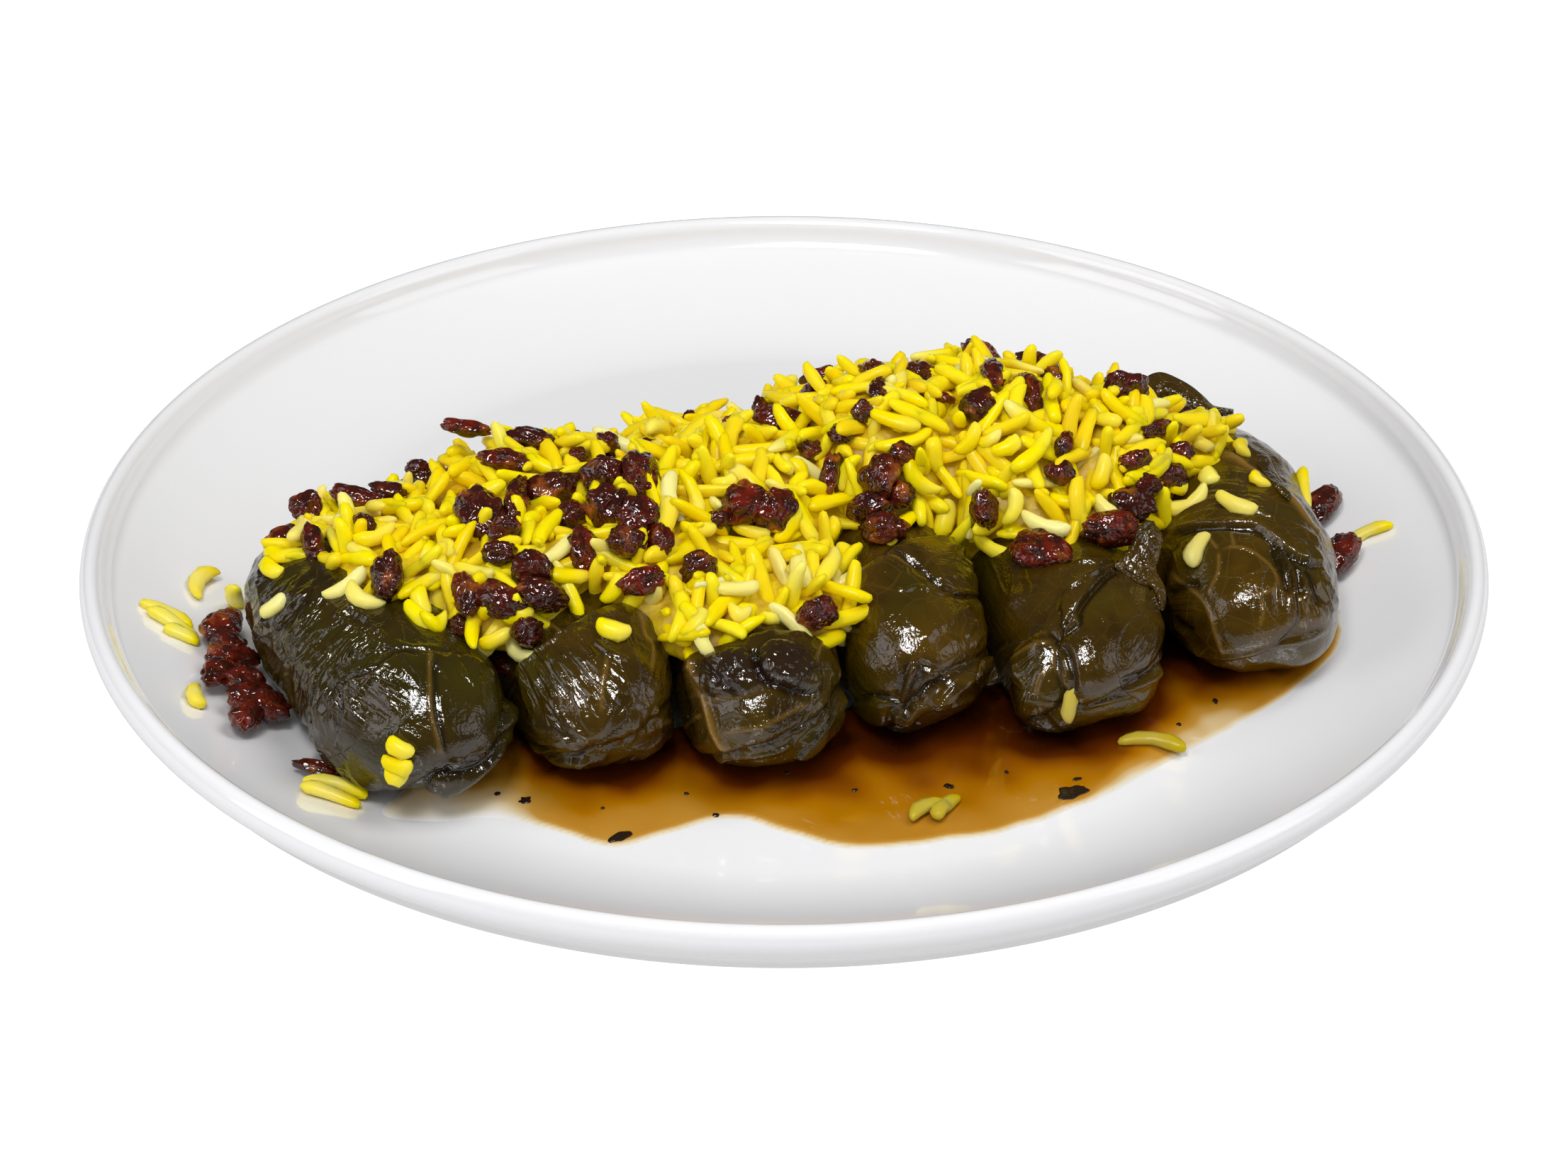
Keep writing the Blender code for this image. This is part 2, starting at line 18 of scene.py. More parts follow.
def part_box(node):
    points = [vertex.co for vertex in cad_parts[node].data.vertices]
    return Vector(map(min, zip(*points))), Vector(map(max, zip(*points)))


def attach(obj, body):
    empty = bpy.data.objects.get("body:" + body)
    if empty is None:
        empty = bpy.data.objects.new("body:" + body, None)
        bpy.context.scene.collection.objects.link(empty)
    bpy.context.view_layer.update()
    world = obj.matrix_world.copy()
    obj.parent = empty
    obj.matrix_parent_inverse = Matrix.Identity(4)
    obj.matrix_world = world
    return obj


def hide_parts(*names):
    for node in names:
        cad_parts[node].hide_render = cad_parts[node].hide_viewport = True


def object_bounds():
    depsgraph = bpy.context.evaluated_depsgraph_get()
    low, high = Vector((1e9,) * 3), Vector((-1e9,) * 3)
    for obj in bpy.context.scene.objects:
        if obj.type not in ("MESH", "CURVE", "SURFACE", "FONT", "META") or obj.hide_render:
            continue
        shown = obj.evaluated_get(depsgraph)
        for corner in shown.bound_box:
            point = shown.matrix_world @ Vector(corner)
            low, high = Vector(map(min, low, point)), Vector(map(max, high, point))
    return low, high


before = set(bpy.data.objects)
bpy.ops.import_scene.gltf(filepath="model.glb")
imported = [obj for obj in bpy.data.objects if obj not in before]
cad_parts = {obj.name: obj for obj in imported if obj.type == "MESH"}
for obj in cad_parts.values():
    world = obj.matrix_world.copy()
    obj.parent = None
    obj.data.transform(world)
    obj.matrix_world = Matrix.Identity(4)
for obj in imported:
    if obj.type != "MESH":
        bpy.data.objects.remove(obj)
cad_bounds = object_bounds()
bpy.ops.object.select_all(action="DESELECT")

MM = 0.001
UP = Vector((0, 0, 1))

# The camera, as the photograph was taken
PHOTO_WIDTH = 2212
PHOTO_HEIGHT = 1659
LENS = 85.0
SENSOR = 36.0
LOOKS_DOWN = math.radians(31.42)
CAMERA_DISTANCE = 0.6229
CAMERA_TARGET = Vector((0, -0.01856, 0.018))
PIXELS_PER_MM = 8.4

# How bright the white room is as light and in reflections, and the floor as light
ROOM_GLOW = 0.07
ROOM_MIRRORED = 0.06
FLOOR_GLOW = 0.55
FLOOR_SIZE = 8.0
FLOOR_DROP = 0.0002

# Soft lights: place, size, brightness as so many times white, tint, and the rays that don't see the light
LIGHTS = {
    "overhead": ((-0.12, -0.42, 0.86), (0.25, 0.31), 14.0, (1, 1, 1), None),
    "overhead_mirrored": ((-0.12, -0.42, 0.87), (0.32, 0.38), 11.0, (1, 1, 1), "diffuse"),
    "left": ((-0.85, -0.35, 0.45), (0.62, 0.62), 1.8, (0.95, 0.94, 1.0), None),
    "right": ((0.85, -0.35, 0.50), (0.56, 0.56), 1.2, (0.96, 0.95, 1.0), None),
    "front": ((-0.10, -0.90, 0.62), (1.00, 0.60), 1.2, (0.97, 0.97, 1.0), "glossy"),
    "top_right": ((0.45, 0.05, 0.90), (0.60, 0.60), 4.0, (1, 1, 1), "glossy"),
    "side_left": ((-0.95, -0.20, 0.55), (0.80, 0.80), 0.8, (1, 1, 1), "glossy"),
}

# Colours as linear red, green and blue. A pair is for the lowest and the highest value of what mixes it.
LEAF_DARK = ((0.012, 0.008, 0.001), (0.036, 0.018, 0.0006))
LEAF_LIGHT = ((0.027, 0.018, 0.002), (0.086, 0.044, 0.001))
LEAF_GREEN = (0.040, 0.032, 0.0006)
LEAF_NETWORK = (0.14, 0.075, 0.010)
LEAF_VEIN = (0.22, 0.12, 0.020)
# Painted shade, laid at the feet of leaf edges, in grooves and round the rims of bulges
LEAF_CREASE_SHADE = (0.006, 0.004, 0.002)
LEAF_SCORCHED = (0.018, 0.008, 0.006)
RICE_YELLOW = ((0.93, 0.66, 0.0), (0.98, 0.79, 0.0))
RICE_PALE = (0.90, 0.85, 0.36)
RICE_SOAKED = (0.33, 0.235, 0.010)
# Inner rice seen between the grains, coloured darker and more orange than the grains as painted shade of the
# gaps
CORE_SHADED_YELLOW = ((0.42, 0.24, 0.0), (0.76, 0.56, 0.0))
BERRY_SKIN = ((0.040, 0.006, 0.002), (0.17, 0.011, 0.002))
BERRY_DARK = (0.034, 0.006, 0.003)
# Amber patches: painted glow of light shining through the skin, laid at random
BERRY_AMBER_GLOW = (0.34, 0.085, 0.012)
PORCELAIN_WHITE = ((0.92, 0.92, 0.93), (0.945, 0.945, 0.95))
FLOOR_GREY = (0.2, 0.2, 0.2)
WHITE = (1, 1, 1)
# The darkest juice colours are reached at the rolls' feet, where they are partly painted shade and reflection
JUICE_COLOURS = [
    (0.0, (0.82, 0.81, 0.81)),
    (0.03, (0.77, 0.72, 0.61)),
    (0.10, (0.70, 0.54, 0.29)),
    (0.22, (0.52, 0.27, 0.04)),
    (0.40, (0.40, 0.155, 0.001)),
    (0.55, (0.28, 0.085, 0.0005)),
    (0.72, (0.105, 0.019, 0.0005)),
    (1.0, (0.010, 0.0013, 0.0003)),
]

# The plate, as in the part's source
PLATE_STEPS = 256
FLOOR_TOP = 0.0065
FLOOR_RADIUS = 0.084
FLOOR_THICKNESS = 0.0042
WALL_RADIUS = 0.116
WALL_RISE = 0.0105
WALL_SWEEP = 1.7
WALL_END = 0.1152
LIP_LIFT = 0.0016
UNDERSIDE_FROM = 0.1135
UNDERSIDE_TO = 0.090
UNDERSIDE_OUT = 0.0015
LIP_HALF_WIDTH = 0.0020
LIP_HALF_HEIGHT = 0.0027
FOOT_OUTER_RADIUS = 0.074
FOOT_INNER_RADIUS = 0.069
FOOT_RECESS = 0.0016
FOOT_BEVEL = 0.0008
FOOT_BEVEL_HEIGHT = 0.0004
GAP = 0.0004

# The rolls. As in the part's source: the middle of the front dome, heading in degrees, and width, length
# and height; a knob is a direction off the middle, a spread and a rise. The tone says how light the leaf is,
# from near black to olive brown, and the crumple how wrinkled it is.
ROLLS = {
    "dolma_1": {
        "dome": (-57.8, -56.5),
        "heading": 27,
        "size": (31, 72, 24),
        "tone": 0.25,
        "crumple": 0.9,
        "knobs": [((0.75, -0.85, -0.55), 5.0, 1.6)],
    },
    "dolma_2": {
        "dome": (-30.2, -51.0),
        "heading": 15,
        "size": (28, 64, 23),
        "tone": 0.65,
        "crumple": 0.8,
        "knobs": [((0.9, -0.8, -0.6), 4.0, 1.2)],
    },
    "dolma_3": {
        "dome": (-4.0, -50.5),
        "heading": 13,
        "size": (28.5, 66, 23),
        "tone": 0.6,
        "crumple": 0.7,
        "knobs": [((0.95, -0.8, -0.35), 4.5, 1.6)],
    },
    "dolma_4": {
        "dome": (21.0, -38.0),
        "heading": 13,
        "size": (28, 66, 24.5),
        "tone": 0.9,
        "crumple": 0.5,
        "knobs": [((-0.25, -1.0, -0.6), 5.0, 2.0), ((0.95, -0.85, -0.5), 4.0, 1.8)],
    },
    "dolma_5": {
        "dome": (49.0, -38.2),
        "heading": 12,
        "size": (28.5, 68, 23.5),
        "tone": 0.75,
        "crumple": 0.5,
        "knobs": [((-0.7, -1.0, -0.45), 5.0, 3.5)],
    },
    "dolma_6": {
        "dome": (78.8, -21.5),
        "heading": 8,
        "size": (31.5, 66, 25),
        "tone": 1.0,
        "crumple": 0.35,
        "knobs": [],
    },
}
ROLL_LOW_SHARE = 0.42
TOP_ROUNDNESS = 2.15
BOTTOM_ROUNDNESS = 3.2
END_ROUNDNESS = 2.5
PRESS_DEPTH = 0.0016
ROLL_CUTS_ACROSS = 109
ROLL_CUTS_ALONG = 89
ROLL_CUTS_HIGH = 90
FOLD_STRENGTH = 1.35
LOBE_STRENGTH = 1.35
NETWORK_SHOWS = 0.3

# Where a fold fades towards its ends, as a share of its path, and a raised edge behind its crest, in mm
FOLD_TAPER = 0.14
EDGE_FADE = 3.5

# How squarely a place has to face the camera before the folds that the photograph shows begin, and are full
SEEN_FROM = 0.02
SEEN_FULLY = 0.22
# How far round its path a fold and a bulge are worked out, in pixels
FOLD_MARGIN = 70
LOBE_MARGIN = 12

# Folds and veins that the photograph shows, as kind, width, height and photo path. An edge is raised on the
# right hand of its path.
FOLDS = {
    "dolma_1": [
        ("edge", 0.35, 0.75, [(450, 1050), (463, 995), (465, 970), (473, 952), (488, 936), (514, 926),
            (542, 924), (570, 926), (595, 929), (616, 926)]),
        ("edge", 0.35, 0.55, [(483, 1054), (496, 1033), (506, 1008), (503, 982), (509, 970), (526, 967),
            (544, 959), (554, 947), (570, 939), (585, 942), (600, 942)]),
        ("ridge", 0.55, 0.45, [(503, 893), (483, 906), (465, 921), (452, 941), (447, 964), (447, 995),
            (452, 1021), (442, 1046)]),
        ("ridge", 0.5, 0.35, [(445, 824), (432, 842), (414, 860), (396, 883), (391, 906), (395, 935)]),
        ("ridge", 0.45, 0.4, [(483, 855), (509, 868), (534, 891), (560, 908), (588, 916), (620, 915)]),
        ("ridge", 0.4, 0.3, [(466, 862), (490, 880), (514, 897), (545, 912), (575, 921)]),
        ("ridge", 0.4, 0.3, [(480, 875), (462, 888), (440, 905), (424, 930), (420, 965), (428, 1000)]),
        ("ridge", 0.4, 0.28, [(455, 868), (432, 880), (412, 905), (404, 940), (408, 975)]),
        ("ridge", 0.4, 0.25, [(352, 784), (350, 812), (356, 850), (372, 890), (392, 930)]),
        ("ridge", 0.4, 0.25, [(372, 790), (368, 830), (375, 870), (392, 905)]),
        ("ridge", 0.35, 0.3, [(500, 905), (484, 922), (474, 940), (470, 958)]),
        ("ridge", 0.35, 0.25, [(520, 900), (505, 912), (492, 925)]),
        ("vein", 0.35, 0.22, [(616, 924), (606, 936), (606, 970), (608, 1010), (616, 1041), (621, 1069)]),
        ("groove", 0.5, 0.3, [(612, 936), (612, 970), (614, 1010), (622, 1041), (626, 1066)]),
        ("ridge", 0.7, 0.8, [(623, 1072), (654, 1069), (679, 1054), (697, 1033), (710, 1008), (712, 985)]),
        ("ridge", 0.5, 0.5, [(603, 1107), (628, 1107), (662, 1089), (687, 1067), (708, 1041)]),
        ("groove", 0.6, 0.6, [(612, 1092), (640, 1085), (668, 1075), (692, 1050), (706, 1022)]),
        ("ridge", 0.5, 0.45, [(435, 1041), (452, 1038), (465, 1046), (488, 1064), (500, 1080)]),
    ],
    "dolma_2": [
        ("edge", 0.35, 0.8, [(717, 1000), (717, 988), (737, 953), (755, 931), (780, 910), (798, 895),
            (814, 885), (833, 875), (849, 866), (866, 861), (887, 860), (910, 866)]),
        ("ridge", 0.35, 0.3, [(727, 978), (742, 957), (762, 935), (786, 915), (806, 897), (826, 886)]),
        ("vein", 0.3, 0.18, [(887, 873), (896, 891), (901, 908), (910, 920), (911, 938), (906, 960)]),
        ("vein", 0.3, 0.14, [(855, 936), (853, 956), (849, 976), (848, 1009)]),
        ("vein", 0.25, 0.12, [(768, 873), (783, 885), (798, 895)]),
        ("edge", 0.3, 0.5, [(829, 1044), (819, 1060), (806, 1062), (793, 1054), (770, 1060), (746, 1049),
            (725, 1044)]),
        ("ridge", 0.6, 0.7, [(717, 1039), (733, 1047), (751, 1062), (773, 1070), (793, 1074), (813, 1075),
            (840, 1070)]),
        ("ridge", 0.45, 0.3, [(752, 950), (751, 975), (757, 1000), (770, 1022), (783, 1033)]),
        ("ridge", 0.45, 0.3, [(799, 1002), (806, 1016), (819, 1029), (838, 1039)]),
        ("ridge", 0.4, 0.3, [(783, 925), (790, 945), (800, 962), (812, 980)]),
        ("ridge", 0.4, 0.3, [(800, 930), (808, 948), (820, 965)]),
        ("ridge", 0.4, 0.25, [(768, 940), (776, 958), (786, 975), (794, 990)]),
        ("ridge", 0.4, 0.25, [(836, 915), (850, 928), (866, 938), (884, 942)]),
        ("ridge", 0.4, 0.25, [(730, 980), (738, 1000), (748, 1020)]),
        ("groove", 0.5, 0.4, [(727, 1010), (736, 1028), (750, 1042), (770, 1050), (800, 1048)]),
        ("ridge", 0.6, 0.5, [(912, 1001), (924, 1012), (937, 1020)]),
        ("ridge", 0.5, 0.4, [(914, 1030), (926, 1024), (938, 1012)]),
    ],
    "dolma_3": [
        ("edge", 0.3, 0.75, [(950, 1002), (948, 976), (952, 960), (959, 951), (974, 935), (992, 926),
            (1012, 920), (1036, 913), (1057, 904), (1081, 899), (1109, 899), (1133, 901), (1160, 907)]),
        ("ridge", 0.35, 0.3, [(954, 985), (957, 1010), (960, 1035), (966, 1056)]),
        ("edge", 0.3, 0.5, [(1185, 976), (1181, 951), (1174, 937), (1162, 911)]),
        ("rib", 0.55, 0.5, [(984, 930), (993, 957), (1000, 978), (1007, 1000), (1014, 1023), (1024, 1045),
            (1038, 1062)]),
        ("vein", 0.3, 0.16, [(1002, 1007), (988, 1011), (974, 1021), (959, 1035)]),
        ("vein", 0.3, 0.16, [(1007, 992), (1023, 988), (1043, 988), (1061, 985), (1076, 976), (1086, 968)]),
        ("ridge", 0.35, 0.2, [(968, 949), (980, 948), (990, 950)]),
        ("ridge", 0.35, 0.22, [(978, 968), (988, 966), (997, 966)]),
        ("ridge", 0.35, 0.22, [(971, 985), (984, 984), (1000, 982)]),
        ("vein", 0.25, 0.14, [(1022, 1032), (1050, 1026), (1071, 1023), (1095, 1013), (1135, 992)]),
        ("ridge", 0.35, 0.2, [(1020, 1012), (1040, 1005), (1060, 1010)]),
        ("groove", 0.9, 1.0, [(1062, 925), (1066, 940), (1071, 957), (1078, 968), (1095, 971), (1112, 978),
            (1143, 983)]),
        ("groove", 0.6, 0.4, [(1000, 940), (1020, 960), (1034, 975), (1055, 985)]),
        ("edge", 0.3, 0.6, [(1038, 1056), (1061, 1052), (1086, 1045), (1105, 1035), (1129, 1023),
            (1147, 1013), (1162, 995), (1171, 982), (1181, 959)]),
        ("ridge", 0.5, 0.4, [(962, 1054), (983, 1066), (1009, 1069), (1043, 1068), (1069, 1062),
            (1095, 1056), (1112, 1047), (1126, 1035)]),
        ("ridge", 0.6, 0.5, [(971, 1073), (997, 1076), (1026, 1075)]),
        ("ridge", 0.6, 0.6, [(1128, 1050), (1140, 1035), (1152, 1015), (1160, 998)]),
        ("vein", 0.25, 0.12, [(1150, 910), (1144, 930), (1140, 950)]),
    ],
    "dolma_4": [
        ("edge", 0.4, 0.85, [(1176, 856), (1186, 842), (1196, 833), (1210, 818), (1227, 802), (1242, 797),
            (1256, 785), (1272, 773), (1300, 767), (1330, 764), (1364, 767)]),
        ("ridge", 0.45, 0.45, [(1330, 764), (1364, 767), (1393, 796), (1401, 842), (1398, 865)]),
        ("vein", 0.3, 0.2, [(1253, 794), (1277, 804), (1301, 814), (1306, 825)]),
        ("ridge", 0.4, 0.4, [(1322, 783), (1342, 787), (1359, 789), (1377, 801), (1390, 820), (1401, 833)]),
        ("ridge", 0.4, 0.3, [(1330, 800), (1352, 803), (1370, 815), (1384, 835)]),
        ("ridge", 0.35, 0.35, [(1260, 835), (1273, 844), (1291, 837), (1308, 839), (1325, 844), (1351, 839),
            (1385, 845)]),
        ("ridge", 0.8, 0.35, [(1365, 856), (1342, 878), (1318, 892), (1297, 914)]),
        ("ridge", 0.5, 0.5, [(1396, 849), (1390, 870), (1390, 890), (1396, 907), (1390, 921)]),
        ("edge", 0.5, 0.9, [(1263, 1021), (1266, 1009), (1273, 987), (1280, 966), (1287, 945),
            (1292, 930)]),
        ("groove", 1.2, 0.9, [(1275, 1005), (1283, 980), (1296, 952), (1304, 930)]),
        ("ridge", 0.5, 0.6, [(1304, 959), (1320, 952), (1339, 949), (1356, 940), (1375, 932), (1382, 940)]),
        ("ridge", 0.9, 0.7, [(1308, 985), (1325, 985), (1342, 973), (1356, 958), (1377, 943)]),
        ("groove", 0.6, 0.5, [(1290, 985), (1300, 972), (1318, 958), (1336, 955)]),
        ("groove", 0.7, 0.3, [(1222, 983), (1246, 976), (1268, 981)]),
        ("ridge", 0.4, 0.25, [(1372, 880), (1360, 892), (1356, 905)]),
        ("ridge", 0.4, 0.25, [(1380, 895), (1368, 905), (1366, 918)]),
    ],
    "dolma_5": [
        ("edge", 0.4, 0.9, [(1575, 804), (1558, 819), (1546, 832), (1537, 842), (1525, 857), (1518, 872),
            (1520, 884), (1506, 895), (1495, 907)]),
        ("ridge", 0.5, 0.6, [(1573, 792), (1550, 798), (1525, 794), (1516, 799)]),
        ("ridge", 0.5, 0.6, [(1552, 808), (1546, 819), (1525, 829), (1510, 836), (1502, 846), (1497, 872)]),
        ("vein", 0.35, 0.2, [(1493, 909), (1466, 914), (1443, 926), (1428, 935), (1415, 951), (1411, 973)]),
        ("vein", 0.35, 0.2, [(1493, 909), (1493, 925), (1493, 939), (1510, 970)]),
        ("vein", 0.3, 0.18, [(1491, 941), (1480, 954), (1472, 983)]),
        ("vein", 0.3, 0.2, [(1434, 924), (1453, 905), (1464, 897), (1474, 893), (1485, 899)]),
        ("ridge", 0.6, 0.75, [(1624, 821), (1632, 846), (1643, 863), (1649, 888), (1647, 914), (1638, 937),
            (1622, 956), (1600, 970), (1575, 979)]),
        ("groove", 0.6, 0.5, [(1630, 880), (1632, 905), (1624, 928), (1611, 947), (1586, 956),
            (1569, 960)]),
        ("ridge", 0.4, 0.3, [(1527, 996), (1558, 991), (1590, 985), (1607, 977)]),
        ("ridge", 0.4, 0.25, [(1423, 950), (1428, 968), (1440, 985)]),
        ("ridge", 0.4, 0.25, [(1445, 935), (1452, 952), (1465, 968)]),
        ("groove", 0.6, 0.6, [(1500, 912), (1512, 930), (1518, 955), (1516, 975)]),
        ("edge", 0.35, 0.4, [(1402, 965), (1402, 940), (1408, 920), (1424, 905)]),
    ],
    "dolma_6": [
        ("edge", 0.35, 0.7, [(1877, 796), (1848, 796), (1825, 785), (1795, 764), (1772, 746), (1737, 743),
            (1699, 743), (1663, 749), (1637, 764)]),
        ("ridge", 0.4, 0.35, [(1643, 741), (1687, 717), (1713, 708), (1754, 723), (1795, 735), (1839, 755),
            (1875, 790)]),
        ("ridge", 0.35, 0.25, [(1660, 740), (1700, 724), (1740, 730), (1780, 742), (1820, 762),
            (1850, 786)]),
        ("rib", 0.4, 0.35, [(1710, 641), (1737, 644), (1763, 658), (1789, 682), (1816, 705), (1842, 735),
            (1866, 764), (1880, 793)]),
        ("vein", 0.35, 0.2, [(1655, 808), (1678, 826), (1701, 846), (1716, 873), (1725, 902), (1731, 928)]),
        ("vein", 0.25, 0.08, [(1722, 782), (1743, 777), (1766, 783), (1789, 799), (1801, 823), (1789, 837),
            (1757, 843)]),
        ("vein", 0.25, 0.08, [(1722, 782), (1722, 808), (1713, 832), (1706, 843)]),
        ("vein", 0.25, 0.08, [(1722, 782), (1707, 761), (1700, 745)]),
        ("vein", 0.25, 0.08, [(1743, 777), (1737, 755)]),
        ("vein", 0.25, 0.06, [(1775, 840), (1782, 860), (1776, 885)]),
        ("groove", 0.6, 0.7, [(1792, 767), (1807, 802), (1819, 843)]),
        ("groove", 0.5, 0.5, [(1813, 780), (1829, 811), (1832, 846)]),
        ("ridge", 0.5, 0.5, [(1801, 770), (1822, 811), (1825, 846)]),
        ("ridge", 0.4, 0.4, [(1825, 796), (1836, 823), (1839, 852)]),
        ("groove", 0.5, 0.5, [(1838, 800), (1850, 828), (1858, 858)]),
        ("ridge", 0.45, 0.4, [(1854, 811), (1869, 846), (1880, 867)]),
        ("groove", 0.7, 0.5, [(1655, 838), (1680, 830), (1700, 826)]),
        ("groove", 0.7, 0.5, [(1660, 870), (1672, 880), (1690, 890)]),
        ("ridge", 0.5, 0.4, [(1669, 911), (1707, 922), (1737, 925), (1781, 917), (1839, 902), (1877, 881)]),
    ],
}

# Places where the leaf bulges, as roundness of the edge and rise in millimetres, and photo outline
LOBES = {
    "dolma_1": [
        (4.5, 1.5, [(452, 1072), (440, 1032), (446, 1000), (468, 966), (500, 942), (545, 929), (600, 924),
            (650, 926), (688, 945), (704, 985), (698, 1028), (678, 1056), (640, 1074), (610, 1092),
            (560, 1112), (500, 1108)]),
        (1.6, 1.2, [(600, 1112), (612, 1092), (645, 1076), (680, 1056), (700, 1028), (710, 985),
            (722, 1010), (716, 1045), (690, 1080), (660, 1100), (628, 1115)]),
    ],
    "dolma_2": [
        (3.5, 1.3, [(717, 1000), (737, 953), (755, 931), (780, 910), (814, 885), (849, 866), (887, 861),
            (922, 876), (942, 910), (948, 945), (938, 985), (915, 1012), (880, 1040), (829, 1052),
            (793, 1058), (755, 1044), (727, 1026)]),
    ],
    "dolma_3": [
        (2.6, 1.3, [(950, 1002), (948, 976), (959, 951), (992, 926), (1036, 913), (1081, 899), (1133, 901),
            (1160, 908), (1176, 930), (1180, 958), (1168, 988), (1147, 1013), (1105, 1036), (1062, 1052),
            (1009, 1062), (966, 1052)]),
        (1.6, 0.9, [(994, 962), (1002, 938), (1030, 926), (1060, 930), (1070, 956), (1080, 972),
            (1060, 984), (1030, 986), (1004, 980)]),
        (1.6, 0.9, [(1068, 930), (1085, 916), (1115, 920), (1140, 942), (1150, 968), (1138, 982),
            (1108, 974), (1082, 964), (1070, 950)]),
        (1.6, 0.9, [(1120, 1066), (1136, 1044), (1156, 1014), (1172, 986), (1184, 956), (1190, 985),
            (1180, 1020), (1160, 1048), (1138, 1068)]),
    ],
    "dolma_4": [
        (4.0, 1.2, [(1190, 852), (1212, 818), (1256, 792), (1300, 815), (1345, 842), (1388, 850),
            (1390, 900), (1372, 928), (1330, 946), (1304, 964), (1286, 990), (1266, 1020), (1236, 1019),
            (1206, 996), (1192, 930)]),
        (2.0, 1.2, [(1268, 1016), (1288, 985), (1312, 964), (1345, 948), (1376, 932), (1398, 925),
            (1394, 945), (1368, 958), (1350, 975), (1334, 992), (1300, 1002), (1284, 1020)]),
        (2.5, 0.9, [(1262, 785), (1280, 768), (1330, 762), (1372, 767), (1397, 795), (1403, 842),
            (1385, 846), (1340, 840), (1302, 812)]),
        (1.2, 0.5, [(1206, 994), (1232, 978), (1260, 980), (1272, 986), (1266, 1006), (1249, 1021),
            (1225, 1016)]),
    ],
    "dolma_5": [
        (5.0, 1.8, [(1518, 868), (1535, 844), (1552, 821), (1575, 808), (1605, 822), (1626, 845),
            (1643, 880), (1642, 908), (1628, 936), (1600, 958), (1560, 982), (1525, 992), (1504, 972),
            (1496, 940), (1497, 908)]),
        (4.0, 1.8, [(1493, 905), (1474, 892), (1449, 906), (1422, 932), (1410, 962), (1417, 992),
            (1443, 1014), (1480, 1004), (1502, 980), (1496, 940)]),
        (1.5, 0.8, [(1499, 855), (1504, 838), (1525, 822), (1552, 804), (1575, 800), (1552, 824),
            (1536, 846), (1516, 872), (1500, 890)]),
    ],
    "dolma_6": [
        (5.0, 0.9, [(1648, 800), (1662, 768), (1708, 750), (1760, 755), (1800, 775), (1822, 830),
            (1826, 880), (1790, 915), (1730, 930), (1675, 915), (1655, 870)]),
    ],
}

# Strands that run round a photo point or out from it, as direction, middle, half size, the point, spacing
# and rise
STRANDS = {
    "dolma_1": [
        ("round", (452, 925), (120, 140), (590, 1015), 1.0, 0.42),
        ("round", (395, 850), (80, 80), (560, 1000), 1.3, 0.35),
        ("out", (520, 985), (75, 50), (420, 900), 0.9, 0.22),
    ],
    "dolma_2": [
        ("out", (800, 965), (95, 85), (640, 720), 1.2, 0.30),
        ("round", (760, 1040), (70, 30), (830, 900), 1.0, 0.30),
    ],
    "dolma_3": [
        ("out", (972, 960), (32, 50), (1250, 950), 1.1, 0.28),
        ("round", (1150, 1010), (40, 60), (1050, 950), 1.0, 0.25),
    ],
    "dolma_4": [
        ("round", (1360, 810), (55, 50), (1290, 920), 1.1, 0.35),
        ("out", (1340, 975), (60, 30), (1250, 1030), 1.0, 0.30),
    ],
    "dolma_5": [
        ("out", (1448, 960), (55, 55), (1496, 905), 1.3, 0.25),
        ("round", (1620, 930), (50, 60), (1560, 900), 1.1, 0.25),
    ],
    "dolma_6": [
        ("out", (1842, 832), (62, 62), (1800, 690), 1.5, 0.55),
        ("out", (1668, 862), (36, 50), (1900, 845), 1.4, 0.28),
        ("round", (1760, 705), (130, 60), (1730, 980), 1.7, 0.22),
    ],
}

# Puckered dark places on a roll: photo middle, half size in pixels
DARK_PATCHES = {"dolma_3": [((1036, 956), (42, 30)), ((1108, 948), (44, 30)), ((1070, 960), (30, 20))]}

# Thin leaf edges that stand off a roll: a place in millimetres that the sheet passes through, how far it
# leans back, its bulge in millimetres, then its two long edges as photo paths from the same end
LEAF_SHEETS = [
    (
        (61, -26, 31.5), 0.3, 1.0,
        [
            (1617, 734), (1606, 745), (1602, 756), (1597, 770), (1590, 778), (1582, 786), (1571, 797),
            (1576, 804), (1592, 812), (1604, 821), (1622, 829), (1627, 840), (1635, 860),
        ],
        [
            (1627, 735), (1630, 742), (1637, 750), (1640, 760), (1637, 774), (1635, 788), (1630, 800),
            (1632, 809), (1638, 819), (1644, 833), (1644, 849), (1641, 862),
        ],
    ),
    (
        (76, 26, 30), 0.9, 1.2,
        [
            (1617, 533), (1626, 528), (1640, 526), (1662, 535), (1681, 546), (1699, 561), (1712, 573),
            (1740, 578),
        ],
        [
            (1612, 560), (1630, 562), (1650, 566), (1665, 572), (1681, 580), (1698, 586), (1712, 588),
            (1740, 584),
        ],
    ),
    (
        (87, 2, 26), 0.2, 0.5,
        [(1776, 650), (1788, 644), (1800, 668), (1812, 684), (1822, 700)],
        [(1774, 655), (1786, 672), (1796, 684), (1806, 696), (1818, 706)],
    ),
    (
        (36, -39, 15), 0.2, 0.5,
        [(1384, 930), (1379, 946), (1377, 958), (1380, 970)],
        [(1400, 926), (1404, 940), (1408, 952), (1406, 962)],
    ),
]
SHEET_CUTS = (14, 34)
SHEET_THICKNESS = 0.00035
SHEET_SAMPLES = 60
SHEET_CLEARANCE = 0.0004

